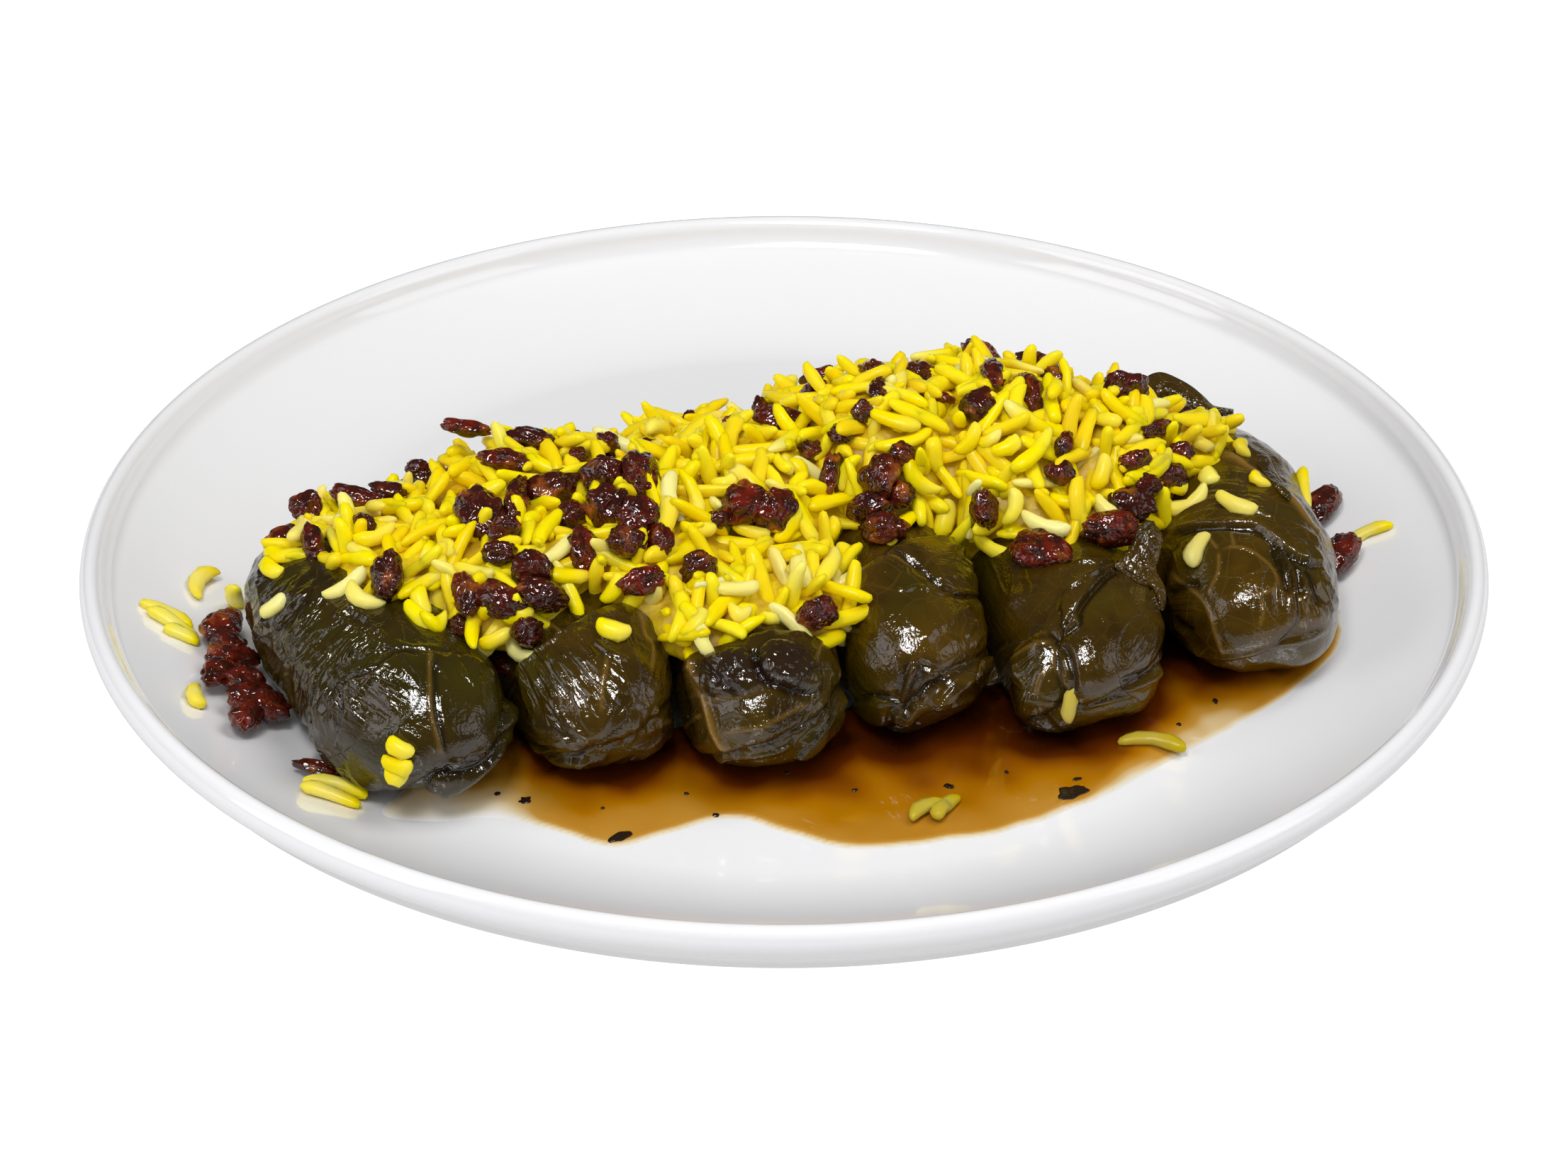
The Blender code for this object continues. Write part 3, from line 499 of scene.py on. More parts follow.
# Dark scraps of leaf on the juice and the plate, as photo point, length and width in pixels, and turn
SCRAPS = [
    ((741, 1129), (17, 9), 20), ((702, 1120), (8, 5), 0), ((875, 1181), (30, 11), 10),
    ((1515, 1117), (40, 15), -5), ((1520, 1099), (14, 5), 0), ((1339, 1110), (15, 8), 30),
    ((1206, 1115), (9, 5), 0), ((1714, 989), (8, 8), 0), ((1663, 1022), (8, 4), 40),
    ((968, 1120), (7, 5), 0), ((1110, 1090), (8, 5), 30), ((850, 1140), (6, 4), 0),
    ((1420, 1090), (7, 5), 0), ((1010, 1150), (9, 5), -30),
]

# The heap of rice, as in the part's source: middle, reach across and along, then level, rise and sink
HEAP = [
    ((-75, -22), (10, 16), (26, 5, 5)),
    ((-62, -27), (16, 20), (26, 9, 5)),
    ((-44, -26), (18, 24), (25, 12, 5)),
    ((-40, -8), (22, 15), (24, 14.5, 6)),
    ((-22, -20), (18, 26), (25, 14, 5)),
    ((-12, -33), (15, 21), (25, 9.5, 4)),
    ((3, -35), (10, 15), (25, 8, 4)),
    ((-4, -8), (20, 22), (24, 16.5, 6)),
    ((17, 2), (19, 23), (24, 21.5, 6)),
    ((38, 3), (19, 24), (24, 22, 6)),
    ((46, -12), (14, 14), (25, 10, 4)),
    ((55, 2), (14, 19), (24, 18, 6)),
    ((67, 6), (11, 13), (27, 9, 4)),
    ((-60, 2), (15, 15), (8, 16, 3)),
    ((-40, 6), (18, 17), (8, 22, 3)),
    ((-17, 12), (19, 18), (8, 24, 3)),
    ((7, 18), (19, 18), (8, 27.5, 3)),
    ((30, 21), (19, 18), (8, 32, 3)),
    ((50, 17), (17, 17), (8, 28, 3)),
]
CORE_INSET = 1.6
CORE_VOXEL = 0.0011
CORE_SMOOTHING = 6
CORE_BUMP_SIZE = 0.0042
GRAIN_LENGTH = 0.0094
GRAIN_WIDTH = 0.0029
GRAIN_COUNT = 1250
GRAIN_SPACING = 0.0027
BERRY_LENGTH = 0.0097
BERRY_WIDTH = 0.0060
BERRY_COUNT = 20
BERRY_SPACING = 0.0085
HEAP_CELL = 0.004

# How far the middles of the grains and barberries that the photograph shows lie off what is below them, and
# the shortest and longest that they may be, in millimetres
GRAIN_LIFT = 0.9
GRAIN_LENGTHS = (4.0, 11.0)
BERRY_LIFT = 1.5
BERRY_LENGTHS = (3.0, 11.0)

# The room kept round such a grain in millimetres, and round such a barberry as a share of its length
GRAIN_ROOM = 2.4
BERRY_ROOM = 0.35

# In pixels: how far below a point the heap's ridge is looked for, and what lies round a point
RIDGE_SEARCH = range(6, 84, 6)
ROUND_A_POINT = ((20, 0), (-20, 0), (0, 14), (0, -14))

# Barberries on the heap that the photograph shows: photo middle, width and height in pixels, how red
SEEN_BERRIES = [
    (657, 604, 68, 28, 0.9), (750, 624, 74, 46, 0.1), (712, 649, 70, 38, 0.6), (588, 660, 32, 28, 0.3),
    (602, 675, 70, 34, 0.2), (548, 692, 54, 26, 0.3), (509, 705, 84, 40, 0.6), (433, 717, 48, 40, 0.4),
    (406, 756, 64, 32, 0.4), (441, 765, 34, 48, 0.8), (512, 738, 32, 28, 0.4), (546, 812, 50, 62, 0.2),
    (676, 723, 58, 78, 0.3), (728, 704, 30, 58, 0.3), (779, 685, 78, 44, 0.2), (815, 643, 28, 26, 0.9),
    (853, 678, 62, 58, 0.2), (905, 672, 58, 62, 0.4), (857, 717, 62, 56, 0.2), (899, 730, 60, 54, 0.5),
    (886, 762, 56, 50, 0.4), (808, 727, 50, 38, 0.3), (824, 775, 42, 62, 0.8), (931, 762, 36, 42, 0.7),
    (712, 749, 46, 40, 0.3), (705, 781, 48, 42, 0.2), (750, 801, 58, 42, 0.3), (705, 846, 70, 40, 0.3),
    (657, 839, 34, 60, 0.8), (763, 839, 70, 50, 0.1), (647, 884, 30, 32, 0.3), (744, 891, 44, 38, 0.2),
    (705, 938, 42, 26, 0.2), (906, 820, 68, 32, 0.9), (985, 801, 52, 42, 0.3), (1050, 712, 62, 60, 0.9),
    (1092, 718, 54, 58, 0.6), (1011, 733, 32, 30, 0.2), (1154, 865, 52, 48, 0.5), (971, 597, 24, 36, 0.3),
    (1074, 583, 26, 46, 0.3), (1173, 670, 32, 66, 0.4), (918, 633, 32, 26, 0.3), (1143, 633, 30, 26, 0.3),
    (1034, 598, 30, 26, 0.5), (1289, 529, 52, 44, 0.5), (1243, 549, 36, 44, 0.2), (1381, 566, 48, 42, 0.1),
    (1401, 526, 28, 36, 0.4), (1452, 540, 48, 50, 0.8), (1482, 538, 40, 44, 0.6), (1588, 549, 62, 58, 0.3),
    (1330, 561, 34, 16, 0.9), (1502, 627, 28, 36, 0.4), (1496, 667, 42, 28, 0.5), (1637, 606, 86, 28, 0.4),
    (1241, 675, 58, 66, 0.5), (1226, 718, 62, 46, 0.3), (1245, 748, 70, 50, 0.4), (1272, 698, 38, 34, 0.6),
    (1387, 721, 44, 58, 0.4), (1467, 776, 78, 52, 0.8), (1568, 747, 76, 52, 0.9), (1599, 710, 64, 42, 0.05),
    (1617, 687, 42, 32, 0.3), (1651, 670, 44, 32, 0.3), (1665, 638, 38, 28, 0.8), (1602, 649, 42, 30, 0.9),
    (1186, 612, 32, 26, 0.3), (1218, 581, 32, 28, 0.3), (1272, 641, 38, 32, 0.3),
]

# Grains that stand out in the photograph: the photo points of their two ends, and how pale
SEEN_GRAINS = [
    ((1645, 726), (1707, 691), 0.4), ((1714, 697), (1772, 723), 0.4), ((1701, 749), (1676, 799), 0.7),
    ((1697, 661), (1713, 683), 0.3), ((1643, 683), (1676, 688), 0.0), ((1763, 668), (1791, 686), 0.1),
    ((1690, 622), (1705, 630), 0.3), ((1720, 612), (1738, 602), 0.2), ((1748, 622), (1758, 642), 0.1),
    ((1592, 682), (1657, 640), 0.0), ((370, 775), (432, 785), 0.0), ((370, 788), (396, 814), 0.0),
    ((372, 872), (400, 838), 0.8), ((457, 843), (519, 807), 0.8), ((486, 826), (538, 859), 0.5),
    ((609, 833), (622, 781), 0.0), ((570, 850), (612, 885), 0.0), ((596, 880), (634, 872), 0.0),
    ((588, 826), (600, 870), 0.1), ((676, 912), (722, 890), 0.1), ((712, 906), (757, 932), 0.8),
    ((705, 868), (754, 865), 0.0), ((773, 810), (834, 814), 0.0), ((699, 775), (770, 778), 0.0),
    ((741, 646), (802, 669), 0.0), ((834, 607), (908, 636), 1.0), ((953, 620), (1027, 598), 0.2),
    ((964, 900), (998, 860), 0.1), ((985, 880), (1004, 930), 0.7), ((958, 855), (1000, 880), 0.0),
    ((1002, 833), (1072, 826), 0.6), ((1030, 862), (1058, 866), 0.3), ((1075, 874), (1100, 868), 0.2),
    ((1172, 878), (1200, 914), 0.7), ((1123, 767), (1134, 830), 0.6), ((1157, 830), (1180, 767), 0.2),
    ((1301, 503), (1398, 523), 0.0), ((1272, 523), (1266, 572), 0.3), ((1223, 578), (1298, 606), 0.0),
    ((1439, 727), (1508, 753), 0.8), ((1324, 761), (1341, 704), 0.1), ((1370, 750), (1433, 796), 0.1),
    ((1272, 652), (1324, 698), 0.0), ((1427, 670), (1490, 601), 0.0), ((1579, 687), (1660, 638), 0.0),
    ((926, 776), (948, 700), 0.1), ((938, 660), (960, 740), 0.9), ((1112, 690), (1150, 766), 0.0),
    ((1030, 740), (1086, 756), 0.1), ((1098, 766), (1126, 712), 0.0), ((1010, 690), (1040, 664), 0.2),
    ((1420, 742), (1438, 690), 0.2), ((1546, 690), (1562, 640), 0.1), ((1544, 700), (1572, 730), 0.6),
    ((1350, 640), (1384, 600), 0.0), ((1160, 560), (1180, 620), 0.1), ((1210, 640), (1180, 690), 0.0),
    ((500, 766), (560, 742), 0.1), ((560, 700), (610, 720), 0.3), ((620, 740), (640, 790), 0.1),
    ((640, 800), (700, 812), 0.2), ((840, 880), (890, 896), 0.1), ((850, 850), (880, 812), 0.0),
    ((960, 740), (1010, 752), 0.1), ((1200, 800), (1186, 766), 0.0), ((1290, 720), (1250, 770), 0.0),
    ((545, 1045), (583, 1066), 0.1), ((537, 1074), (583, 1086), 0.0), ((546, 1090), (572, 1096), 0.1),
    ((1517, 968), (1504, 1020), 0.5), ((1836, 655), (1843, 724), 0.1), ((1400, 640), (1440, 620), 0.0),
    ((1480, 700), (1530, 712), 0.0), ((1520, 570), (1580, 600), 0.0),
]

# Loose grains, as in the part's source: middle, turn about Z and tilt in degrees, and length as a share of
# a usual grain's
LOOSE_GRAINS = [
    ((-100.3, -5.5, 11.3), 80, 0, 1.0),
    ((-96.0, -43.6, 12.9), 105, 0, 0.75),
    ((-93.9, -10.0, 11.1), 75, -50, 0.9),
    ((-104.1, -18.4, 12.9), -20, 0, 1.1),
    ((-102.7, -21.1, 12.5), -25, 0, 1.15),
    ((-101.0, -23.6, 12.0), -18, 0, 0.7),
    ((-70.9, -65.4, 10.0), -9, 0, 1.15),
    ((-71.4, -68.8, 10.6), -15, 0, 1.1),
    ((102.4, 10.4, 11.6), 5, 0, 1.05),
    ((22.6, -69.6, 8.4), 30, 0, 0.8),
    ((25.4, -68.9, 8.4), 60, 0, 0.8),
    ((59.8, -50.4, 8.3), -10, 0, 1.2),
]
# Those of them that lie in the juice, and how much juice the grains that lie on the rolls have taken up
SUNK_GRAINS = [(22.6, -69.6, 8.4), (25.4, -68.9, 8.4), (59.8, -50.4, 8.3)]
SOAKED_GRAINS = {(1517, 968): 0.6, (1701, 749): 0.35, (1714, 697): 0.2, (1690, 622): 0.3, (1748, 622): 0.3}
# Loose barberries, as in the part's source: middle, turn, length, and width and height as a share of a
# usual barberry's
LOOSE_BERRIES = [
    ((-94.5, -22.5, 13.0), 70, 9.5, 1.0),
    ((-92.8, -27.2, 12.5), -58, 9.5, 0.9),
    ((-91.5, -32.0, 12.4), 20, 9.5, 1.0),
    ((-92.8, -37.0, 13.2), 68, 9.5, 0.85),
    ((-89.1, -38.2, 12.1), -30, 9.5, 1.0),
    ((-87.5, -42.8, 12.4), 60, 9.5, 0.9),
    ((-84.6, -45.4, 11.8), 10, 9.0, 1.0),
    ((-86.9, -49.4, 13.0), 78, 9.5, 0.85),
    ((-73.4, -61.6, 10.6), -4, 9.5, 0.5),
    ((96.0, 19.8, 12.2), 60, 9.0, 1.0),
    ((97.0, 2.9, 12.4), 75, 9.5, 1.0),
]
LOOSE_BERRY_NODES = ("barberries_left", "barberry_front", "barberry_right_rear", "barberry_right_front")

# The edge of the juice, right to left, then back between the rolls. It lies closer round the rolls' feet
# than the edge in the part's source.
JUICE_EDGE = [
    (95.5, -10), (94.5, -19), (89.5, -28.5), (81.3, -37.2), (63.6, -52.6), (50, -64.5), (37.3, -72.3),
    (22, -77), (8.2, -77.7), (-7.4, -70.2), (-18.5, -74.4), (-27, -77.7), (-38.3, -72.3), (-47, -69.5),
    (-55, -71.5), (-63, -71.5), (-62, -64), (-58, -50), (-55, -36), (-44, -35), (-18, -44), (9, -38),
    (36, -30), (50, -20), (56, 0), (64, 2), (69, -12),
]
# The juice in metres: its depth, the size of the grid's cells, how far its edge slopes and waves, then the
# film at the shore and on the plate's wall, and the shares of the shore and the grid in its edge
JUICE_DEPTH = 0.0012
JUICE_CELL = 0.0006
JUICE_SLOPE = 0.0035
JUICE_SKIN = 0.00005
SHORE_WAVE = 0.006
SHORE_WAVE_HEIGHT = 0.0012
SHORE_FILM = 0.00011
SHORE_SINK = 0.00003
WALL_FILM = 0.0005
TO_SHORE = 0.85
FROM_GRID = 0.15

# How the juice climbs the rolls' feet, in metres
CLIMB_HEIGHT = 0.0034
CLIMB_REACH = 0.0024

# How dark the juice is, from 0 to 1: in the open, deeper in, in blotches, and round and close to the rolls,
# where deeper juice and painted shade and reflection of the rolls darken it; between the rolls, painted shade
OPEN_STRENGTH = 0.30
DEEP_STRENGTH = 0.10
BLOTCH_STRENGTH = 0.10
ROUND_ROLLS_DEPTH_AND_SHADE = 0.40
CLOSE_TO_ROLLS_DEPTH_AND_SHADE = 0.24
CLOSE_TO_ROLLS = 0.0032
BETWEEN_ROLLS_PAINTED_SHADE = 0.5

# Along X in millimetres: how wide the pale shore is, how strong it starts, and how far from the rolls the
# juice is darkened, as deeper juice and as painted shade and reflection of the rolls
SHORE_FADE = [(-57, 8), (-46, 5), (-38, 1.8), (48, 2.0), (60, 8), (74, 12)]
SHORE_STRENGTH = [(-50, 0.2), (-40, 0.0), (48, 0.0), (60, 0.32)]
DEPTH_AND_SHADE_REACH = [
    (-60, 1.4), (-47, 1.6), (-40, 4.0), (-20, 4.6), (5, 6.0), (12, 8.6), (22, 10.2), (34, 9.6), (42, 7.8),
    (56, 6.6), (66, 6.0), (76, 6.2), (95, 2.6),
]


def mm(values):
    return Vector(values) * MM


LOOK = Vector((0, math.cos(LOOKS_DOWN), -math.sin(LOOKS_DOWN)))
LOOK_UP = Vector((0, math.sin(LOOKS_DOWN), math.cos(LOOKS_DOWN)))
CAMERA_PLACE = CAMERA_TARGET - LOOK * CAMERA_DISTANCE
FOCAL_PIXELS = LENS / SENSOR * PHOTO_WIDTH


def in_photo(places):
    """Photo points of places given as rows."""
    away = places - np.array(CAMERA_PLACE)
    depth = away @ np.array(LOOK)
    column = PHOTO_WIDTH / 2 + FOCAL_PIXELS * away[:, 0] / depth
    row = PHOTO_HEIGHT / 2 - FOCAL_PIXELS * (away @ np.array(LOOK_UP)) / depth
    return np.stack([column, row], axis=1)


def ray_through(point):
    """Direction from the camera through a photo point."""
    across = (point[0] - PHOTO_WIDTH / 2) / FOCAL_PIXELS
    above = (PHOTO_HEIGHT / 2 - point[1]) / FOCAL_PIXELS
    return (LOOK + Vector((1, 0, 0)) * across + LOOK_UP * above).normalized()


def only(piece):
    """Makes a piece the one that operators act on."""
    bpy.ops.object.select_all(action="DESELECT")
    piece.select_set(True)
    bpy.context.view_layer.objects.active = piece


def places_of(piece):
    flat = np.empty(len(piece.data.vertices) * 3)
    piece.data.vertices.foreach_get("co", flat)
    return flat.reshape(-1, 3)


def move_to(piece, places):
    piece.data.vertices.foreach_set("co", places.ravel())
    piece.data.update()


def normals_of(piece):
    flat = np.empty(len(piece.data.vertices) * 3)
    piece.data.vertices.foreach_get("normal", flat)
    return flat.reshape(-1, 3)


def paint(piece, **layers):
    """Stores one number or one vector for each vertex; a lone number goes to all of them."""
    for name, values in layers.items():
        if np.ndim(values) == 0:
            values = np.full(len(piece.data.vertices), values)
        values = np.asarray(values, dtype=np.float32)
        vector = values.ndim == 2
        layer = piece.data.attributes.new(name, "FLOAT_VECTOR" if vector else "FLOAT", "POINT")
        layer.data.foreach_set("vector" if vector else "value", values.ravel())


def apply_all(piece):
    only(piece)
    for change in list(piece.modifiers):
        bpy.ops.object.modifier_apply(modifier=change.name)


def thicken(piece, thickness, offset):
    """Gives a sheet its other side."""
    change = piece.modifiers.new("thicken", "SOLIDIFY")
    change.thickness = thickness
    change.offset = offset
    apply_all(piece)


def as_one(pieces, name):
    """Several pieces joined into the first, under a name."""
    only(pieces[0])
    for piece in pieces[1:]:
        piece.select_set(True)
    bpy.ops.object.join()
    pieces[0].name = name
    return pieces[0]


def dress(piece, look):
    """Gives a piece one look."""
    piece.data.materials.clear()
    piece.data.materials.append(look)


def shape_of(piece):
    """Places and faces of a piece, which goes."""
    places = places_of(piece)
    faces = [tuple(face.vertices) for face in piece.data.polygons]
    bpy.data.objects.remove(piece)
    return places, faces


def ball(subdivisions):
    """Places and faces of a ball one metre across."""
    bpy.ops.mesh.primitive_ico_sphere_add(subdivisions=subdivisions, radius=0.5)
    return shape_of(bpy.context.object)


def bell(values, width, power=2):
    """A bump of height 1 at zero that dies away over a width."""
    return np.exp(-((values / width) ** power))


def along_x(x, stops):
    """Values read off stops of (x, value)."""
    return np.interp(x, *zip(*stops))


def smooth_step(values, low, high):
    share = np.clip((values - low) / (high - low), 0, 1)
    return share * share * (3 - 2 * share)


def smooth_path(corners, steps=4):
    """Points of a smooth open curve through the corners."""
    corners = [np.array(c, dtype=float) for c in corners]
    corners = [2 * corners[0] - corners[1]] + corners + [2 * corners[-1] - corners[-2]]
    path = []
    for before, here, after, beyond in zip(corners, corners[1:], corners[2:], corners[3:]):
        for step in range(steps):
            share = step / steps
            linear = (after - before) * share
            square = (2 * before - 5 * here + 4 * after - beyond) * share**2
            cube = (3 * here - before - 3 * after + beyond) * share**3
            path.append((2 * here + linear + square + cube) / 2)
    path.append(corners[-2])
    return np.array(path)


def smooth_loop(corners, steps):
    """Points of a smooth closed curve through the corners."""
    corners = [np.array(c, dtype=float) for c in corners]
    return smooth_path(corners + [corners[0]], steps)[:-1]


def beside_path(points, path):
    """Distance of points from a path, positive on its right in the photo, and the share of it passed."""
    nearest = np.full(len(points), np.inf)
    signed = np.zeros(len(points))
    passed = np.zeros(len(points))
    reach = 0.0
    for start, end in zip(path, path[1:]):
        step = end - start
        size = np.hypot(*step)
        share = np.clip((points - start) @ step / size**2, 0, 1)
        off = points - start - share[:, None] * step
        distance = np.hypot(off[:, 0], off[:, 1])
        side = np.sign(step[0] * off[:, 1] - step[1] * off[:, 0])
        closer = distance < nearest
        nearest[closer] = distance[closer]
        signed[closer] = (distance * np.where(side == 0, 1, side))[closer]
        passed[closer] = (reach + share * size)[closer]
        reach += size
    return signed, passed / reach


def nearest_on(path, spot):
    """The place on a path that is nearest to a spot."""
    steps = path[1:] - path[:-1]
    share = ((spot - path[:-1]) * steps).sum(axis=1) / (steps**2).sum(axis=1)
    places = path[:-1] + np.clip(share, 0, 1)[:, None] * steps
    return places[np.argmin(np.linalg.norm(places - spot, axis=1))]


class Relief:
    """Smooth noise in space, the same for the same seed."""

    def __init__(self, seed):
        dice = np.random.default_rng(seed)
        self.order = dice.permutation(256)
        slopes = dice.normal(size=(256, 3))
        self.slopes = slopes / np.linalg.norm(slopes, axis=1)[:, None]

    def __call__(self, places):
        cell = np.floor(places).astype(int)
        within = places - cell
        fade = within**3 * (within * (within * 6 - 15) + 10)
        total = np.zeros(len(places))
        for corner in itertools.product((0, 1), repeat=3):
            key = 0
            for axis in range(3):
                key = self.order[(key + cell[:, axis] + corner[axis]) % 256]
            share = np.where(corner, fade, 1 - fade).prod(axis=1)
            total += share * (self.slopes[key] * (within - corner)).sum(axis=1)
        return total


noise = Relief(7)


def creased(places, seed):
    """Noise with sharp crests, from 0 to 1."""
    warped = places + 0.35 * np.stack([noise(places * 0.7 + k * 31.7 + seed) for k in range(3)], axis=1)
    return 1 - np.clip(np.abs(noise(warped + seed * 5.3)) * 2.6, 0, 1)


def surface_tree(pieces):
    """What rays hit among the pieces."""
    places = []
    faces = []
    for piece in pieces:
        start = len(places)
        places += [v.co.copy() for v in piece.data.vertices]
        faces += [[start + i for i in f.vertices] for f in piece.data.polygons]
    return BVHTree.FromPolygons(places, faces)


# Materials


def new_look(name, roughness, coat=0.0, coat_roughness=0.05, **inputs):
    """A material with its shader and its tree, ready for nodes."""
    look = bpy.data.materials.new(name)
    look.use_nodes = True
    tree = look.node_tree
    shader = tree.nodes["Principled BSDF"]
    inputs.update({"Roughness": roughness, "Coat Weight": coat, "Coat Roughness": coat_roughness})
    set_inputs(tree, shader, inputs)
    return look, shader, tree


def feed(tree, socket, value):
    """Links a socket to another or sets its value; a colour gets its fourth number."""
    if isinstance(value, bpy.types.NodeSocket):
        tree.links.new(value, socket)
        return
    if isinstance(value, tuple) and len(value) < len(socket.default_value):
        value = (*value, 1)
    socket.default_value = value


def set_inputs(tree, node, inputs):
    """Sets or links a node's inputs by name, with _ for a space."""
    for name, value in inputs.items():
        feed(tree, node.inputs[name.replace("_", " ")], value)


def new_node(tree, kind, **inputs):
    node = tree.nodes.new("ShaderNode" + kind)
    set_inputs(tree, node, inputs)
    return node


def mixed(tree, share, first, second):
    """A colour mix; share, first and second are sockets or values."""
    node = new_node(tree, "Mix")
    node.data_type = "RGBA"
    for index, value in ((0, share), (6, first), (7, second)):
        feed(tree, node.inputs[index], value)
    return node.outputs[2]


def paint_over(tree, shader, colour, *coats):
    """Gives the shader a colour with others over it, each as (share, colour)."""
    for share, coat in coats:
        colour = mixed(tree, share, colour, coat)
    tree.links.new(colour, shader.inputs["Base Color"])


def ramp(tree, value, stops):
    """A colour ramp through (place, colour) stops."""
    node = new_node(tree, "ValToRGB", Fac=value)
    while len(node.color_ramp.elements) < len(stops):
        node.color_ramp.elements.new(0.5)
    for element, (place, colour) in zip(node.color_ramp.elements, stops):
        element.position = place
        element.color = (*colour, 1)
    return node.outputs[0]


def grey_ramp(tree, value, low, high, results=(0, 1)):
    """A value taken from one range to another and kept inside it."""
    ends = {"From Min": low, "From Max": high, "To Min": results[0], "To Max": results[1]}
    return new_node(tree, "MapRange", Value=value, **ends).outputs["Result"]


def attribute(tree, name, output="Fac"):
    node = new_node(tree, "Attribute")
    node.attribute_name = name
    return node.outputs[output]


def object_place(tree):
    return new_node(tree, "TexCoord").outputs["Object"]


def noise_node(tree, scale, detail=3.0, distortion=0.0, place=None):
    place = place or object_place(tree)
    node = new_node(tree, "TexNoise", Vector=place, Scale=scale, Detail=detail, Distortion=distortion)
    return node.outputs["Fac"]


def maths(tree, operation, *values):
    """One step of arithmetic on sockets or numbers."""
    node = new_node(tree, "Math")
    node.operation = operation
    for socket, value in zip(node.inputs, values):
        feed(tree, socket, value)
    return node.outputs[0]


def wet_skin_group():
    """Fine pits of a wet skin over folds of a given height in millimetres, as a normal."""
    group = bpy.data.node_groups.new("wet_skin", "ShaderNodeTree")
    for name, value in (("Scale", 900.0), ("Height", 0.1), ("Folds", 0.0)):
        socket = group.interface.new_socket(name, in_out="INPUT", socket_type="NodeSocketFloat")
        socket.default_value = value
    group.interface.new_socket("Normal", in_out="OUTPUT", socket_type="NodeSocketVector")
    given = group.nodes.new("NodeGroupInput").outputs
    fine = new_node(
        group, "TexNoise", Vector=object_place(group), Scale=given["Scale"], Detail=2.0, Roughness=0.6
    )
    pits = maths(group, "MULTIPLY", fine.outputs["Fac"], given["Height"])
    height = maths(group, "ADD", pits, given["Folds"])
    bump = new_node(group, "Bump", Strength=1.0, Distance=MM, Height=height)
    group.links.new(bump.outputs["Normal"], group.nodes.new("NodeGroupOutput").inputs["Normal"])
    return group


WET_SKIN = wet_skin_group()


def add_wet_skin(tree, shader, scale, height, folds=0.0):
    node = new_node(tree, "Group")
    node.node_tree = WET_SKIN
    set_inputs(tree, node, {"Scale": scale, "Height": height, "Folds": folds})
    tree.links.new(node.outputs["Normal"], shader.inputs["Normal"])


def fine_strands(tree):
    """Height of the leaf's finest wrinkles, which follow the lay and the crimp stored on it."""
    strands = noise_node(tree, 1.0, 1.5, 0.25, attribute(tree, "lay", "Vector"))
    off = maths(tree, "ABSOLUTE", maths(tree, "SUBTRACT", strands, 0.5))
    crest = maths(tree, "POWER", grey_ramp(tree, off, 0.13, 0.0), 1.5)
    return maths(tree, "MULTIPLY", crest, attribute(tree, "crimp"))


def leaf_look():
    look, shader, tree = new_look("wet_vine_leaf", 0.085, IOR=1.60)
    tone = attribute(tree, "tone")
    blotch = grey_ramp(tree, noise_node(tree, 130.0, 4.0, 0.6), 0.32, 0.72)
    plain = mixed(tree, blotch, mixed(tree, tone, *LEAF_DARK), mixed(tree, tone, *LEAF_LIGHT))
    cells = new_node(tree, "TexVoronoi", Vector=object_place(tree))
    cells.feature = "DISTANCE_TO_EDGE"
    cells.inputs["Scale"].default_value = 170.0
    net = grey_ramp(tree, cells.outputs["Distance"], 0.028, 0.006)
    paint_over(
        tree,
        shader,
        plain,
        (grey_ramp(tree, noise_node(tree, 55.0, 2.0), 0.48, 0.80), LEAF_GREEN),
        (maths(tree, "MULTIPLY", net, attribute(tree, "network")), LEAF_NETWORK),
        (attribute(tree, "vein"), LEAF_VEIN),
        # Painted shade darkens the feet of leaf edges, the grooves and the rims of bulges
        (attribute(tree, "crease"), LEAF_CREASE_SHADE),
        (attribute(tree, "scorched"), LEAF_SCORCHED),
    )
    add_wet_skin(tree, shader, 1500.0, 0.105, fine_strands(tree))
    return look


def rice_look():
    clear = {"Subsurface Weight": 0.4, "Subsurface Radius": (1.0, 0.8, 0.1), "Subsurface Scale": 0.0016}
    look, shader, tree = new_look("saffron_rice", 0.26, IOR=1.22, **clear)
    yellow = mixed(tree, attribute(tree, "tint"), *RICE_YELLOW)
    coats = ((attribute(tree, "pale"), RICE_PALE), (attribute(tree, "soaked"), RICE_SOAKED))
    paint_over(tree, shader, yellow, *coats)
    add_wet_skin(tree, shader, 520.0, 0.12)
    return look


def shaded_core_look():
    look, shader, tree = new_look("rice_depths", 0.5)
    # The core is darker than the grains, as painted shade between them
    patchy = grey_ramp(tree, noise_node(tree, 260.0), 0.35, 0.65)
    paint_over(tree, shader, mixed(tree, patchy, *CORE_SHADED_YELLOW))
    add_wet_skin(tree, shader, 500.0, 0.3)
    return look


def berry_look():
    look, shader, tree = new_look("barberry_skin", 0.08, IOR=1.62)
    paint_over(
        tree,
        shader,
        mixed(tree, attribute(tree, "tint"), *BERRY_SKIN),
        (grey_ramp(tree, noise_node(tree, 420.0), 0.38, 0.62), BERRY_DARK),
        # Amber patches painted as light glowing through the skin
        (grey_ramp(tree, noise_node(tree, 230.0), 0.58, 0.74), BERRY_AMBER_GLOW),
    )
    fold = maths(tree, "ABSOLUTE", maths(tree, "SUBTRACT", noise_node(tree, 380.0, 2.0, 0.5), 0.5))
    add_wet_skin(tree, shader, 700.0, 0.05, maths(tree, "MULTIPLY", fold, 1.3))
    return look


def juice_look():
    look, shader, tree = new_look("brown_juice", 0.06)
    paint_over(tree, shader, ramp(tree, attribute(tree, "strength"), JUICE_COLOURS))
    return look


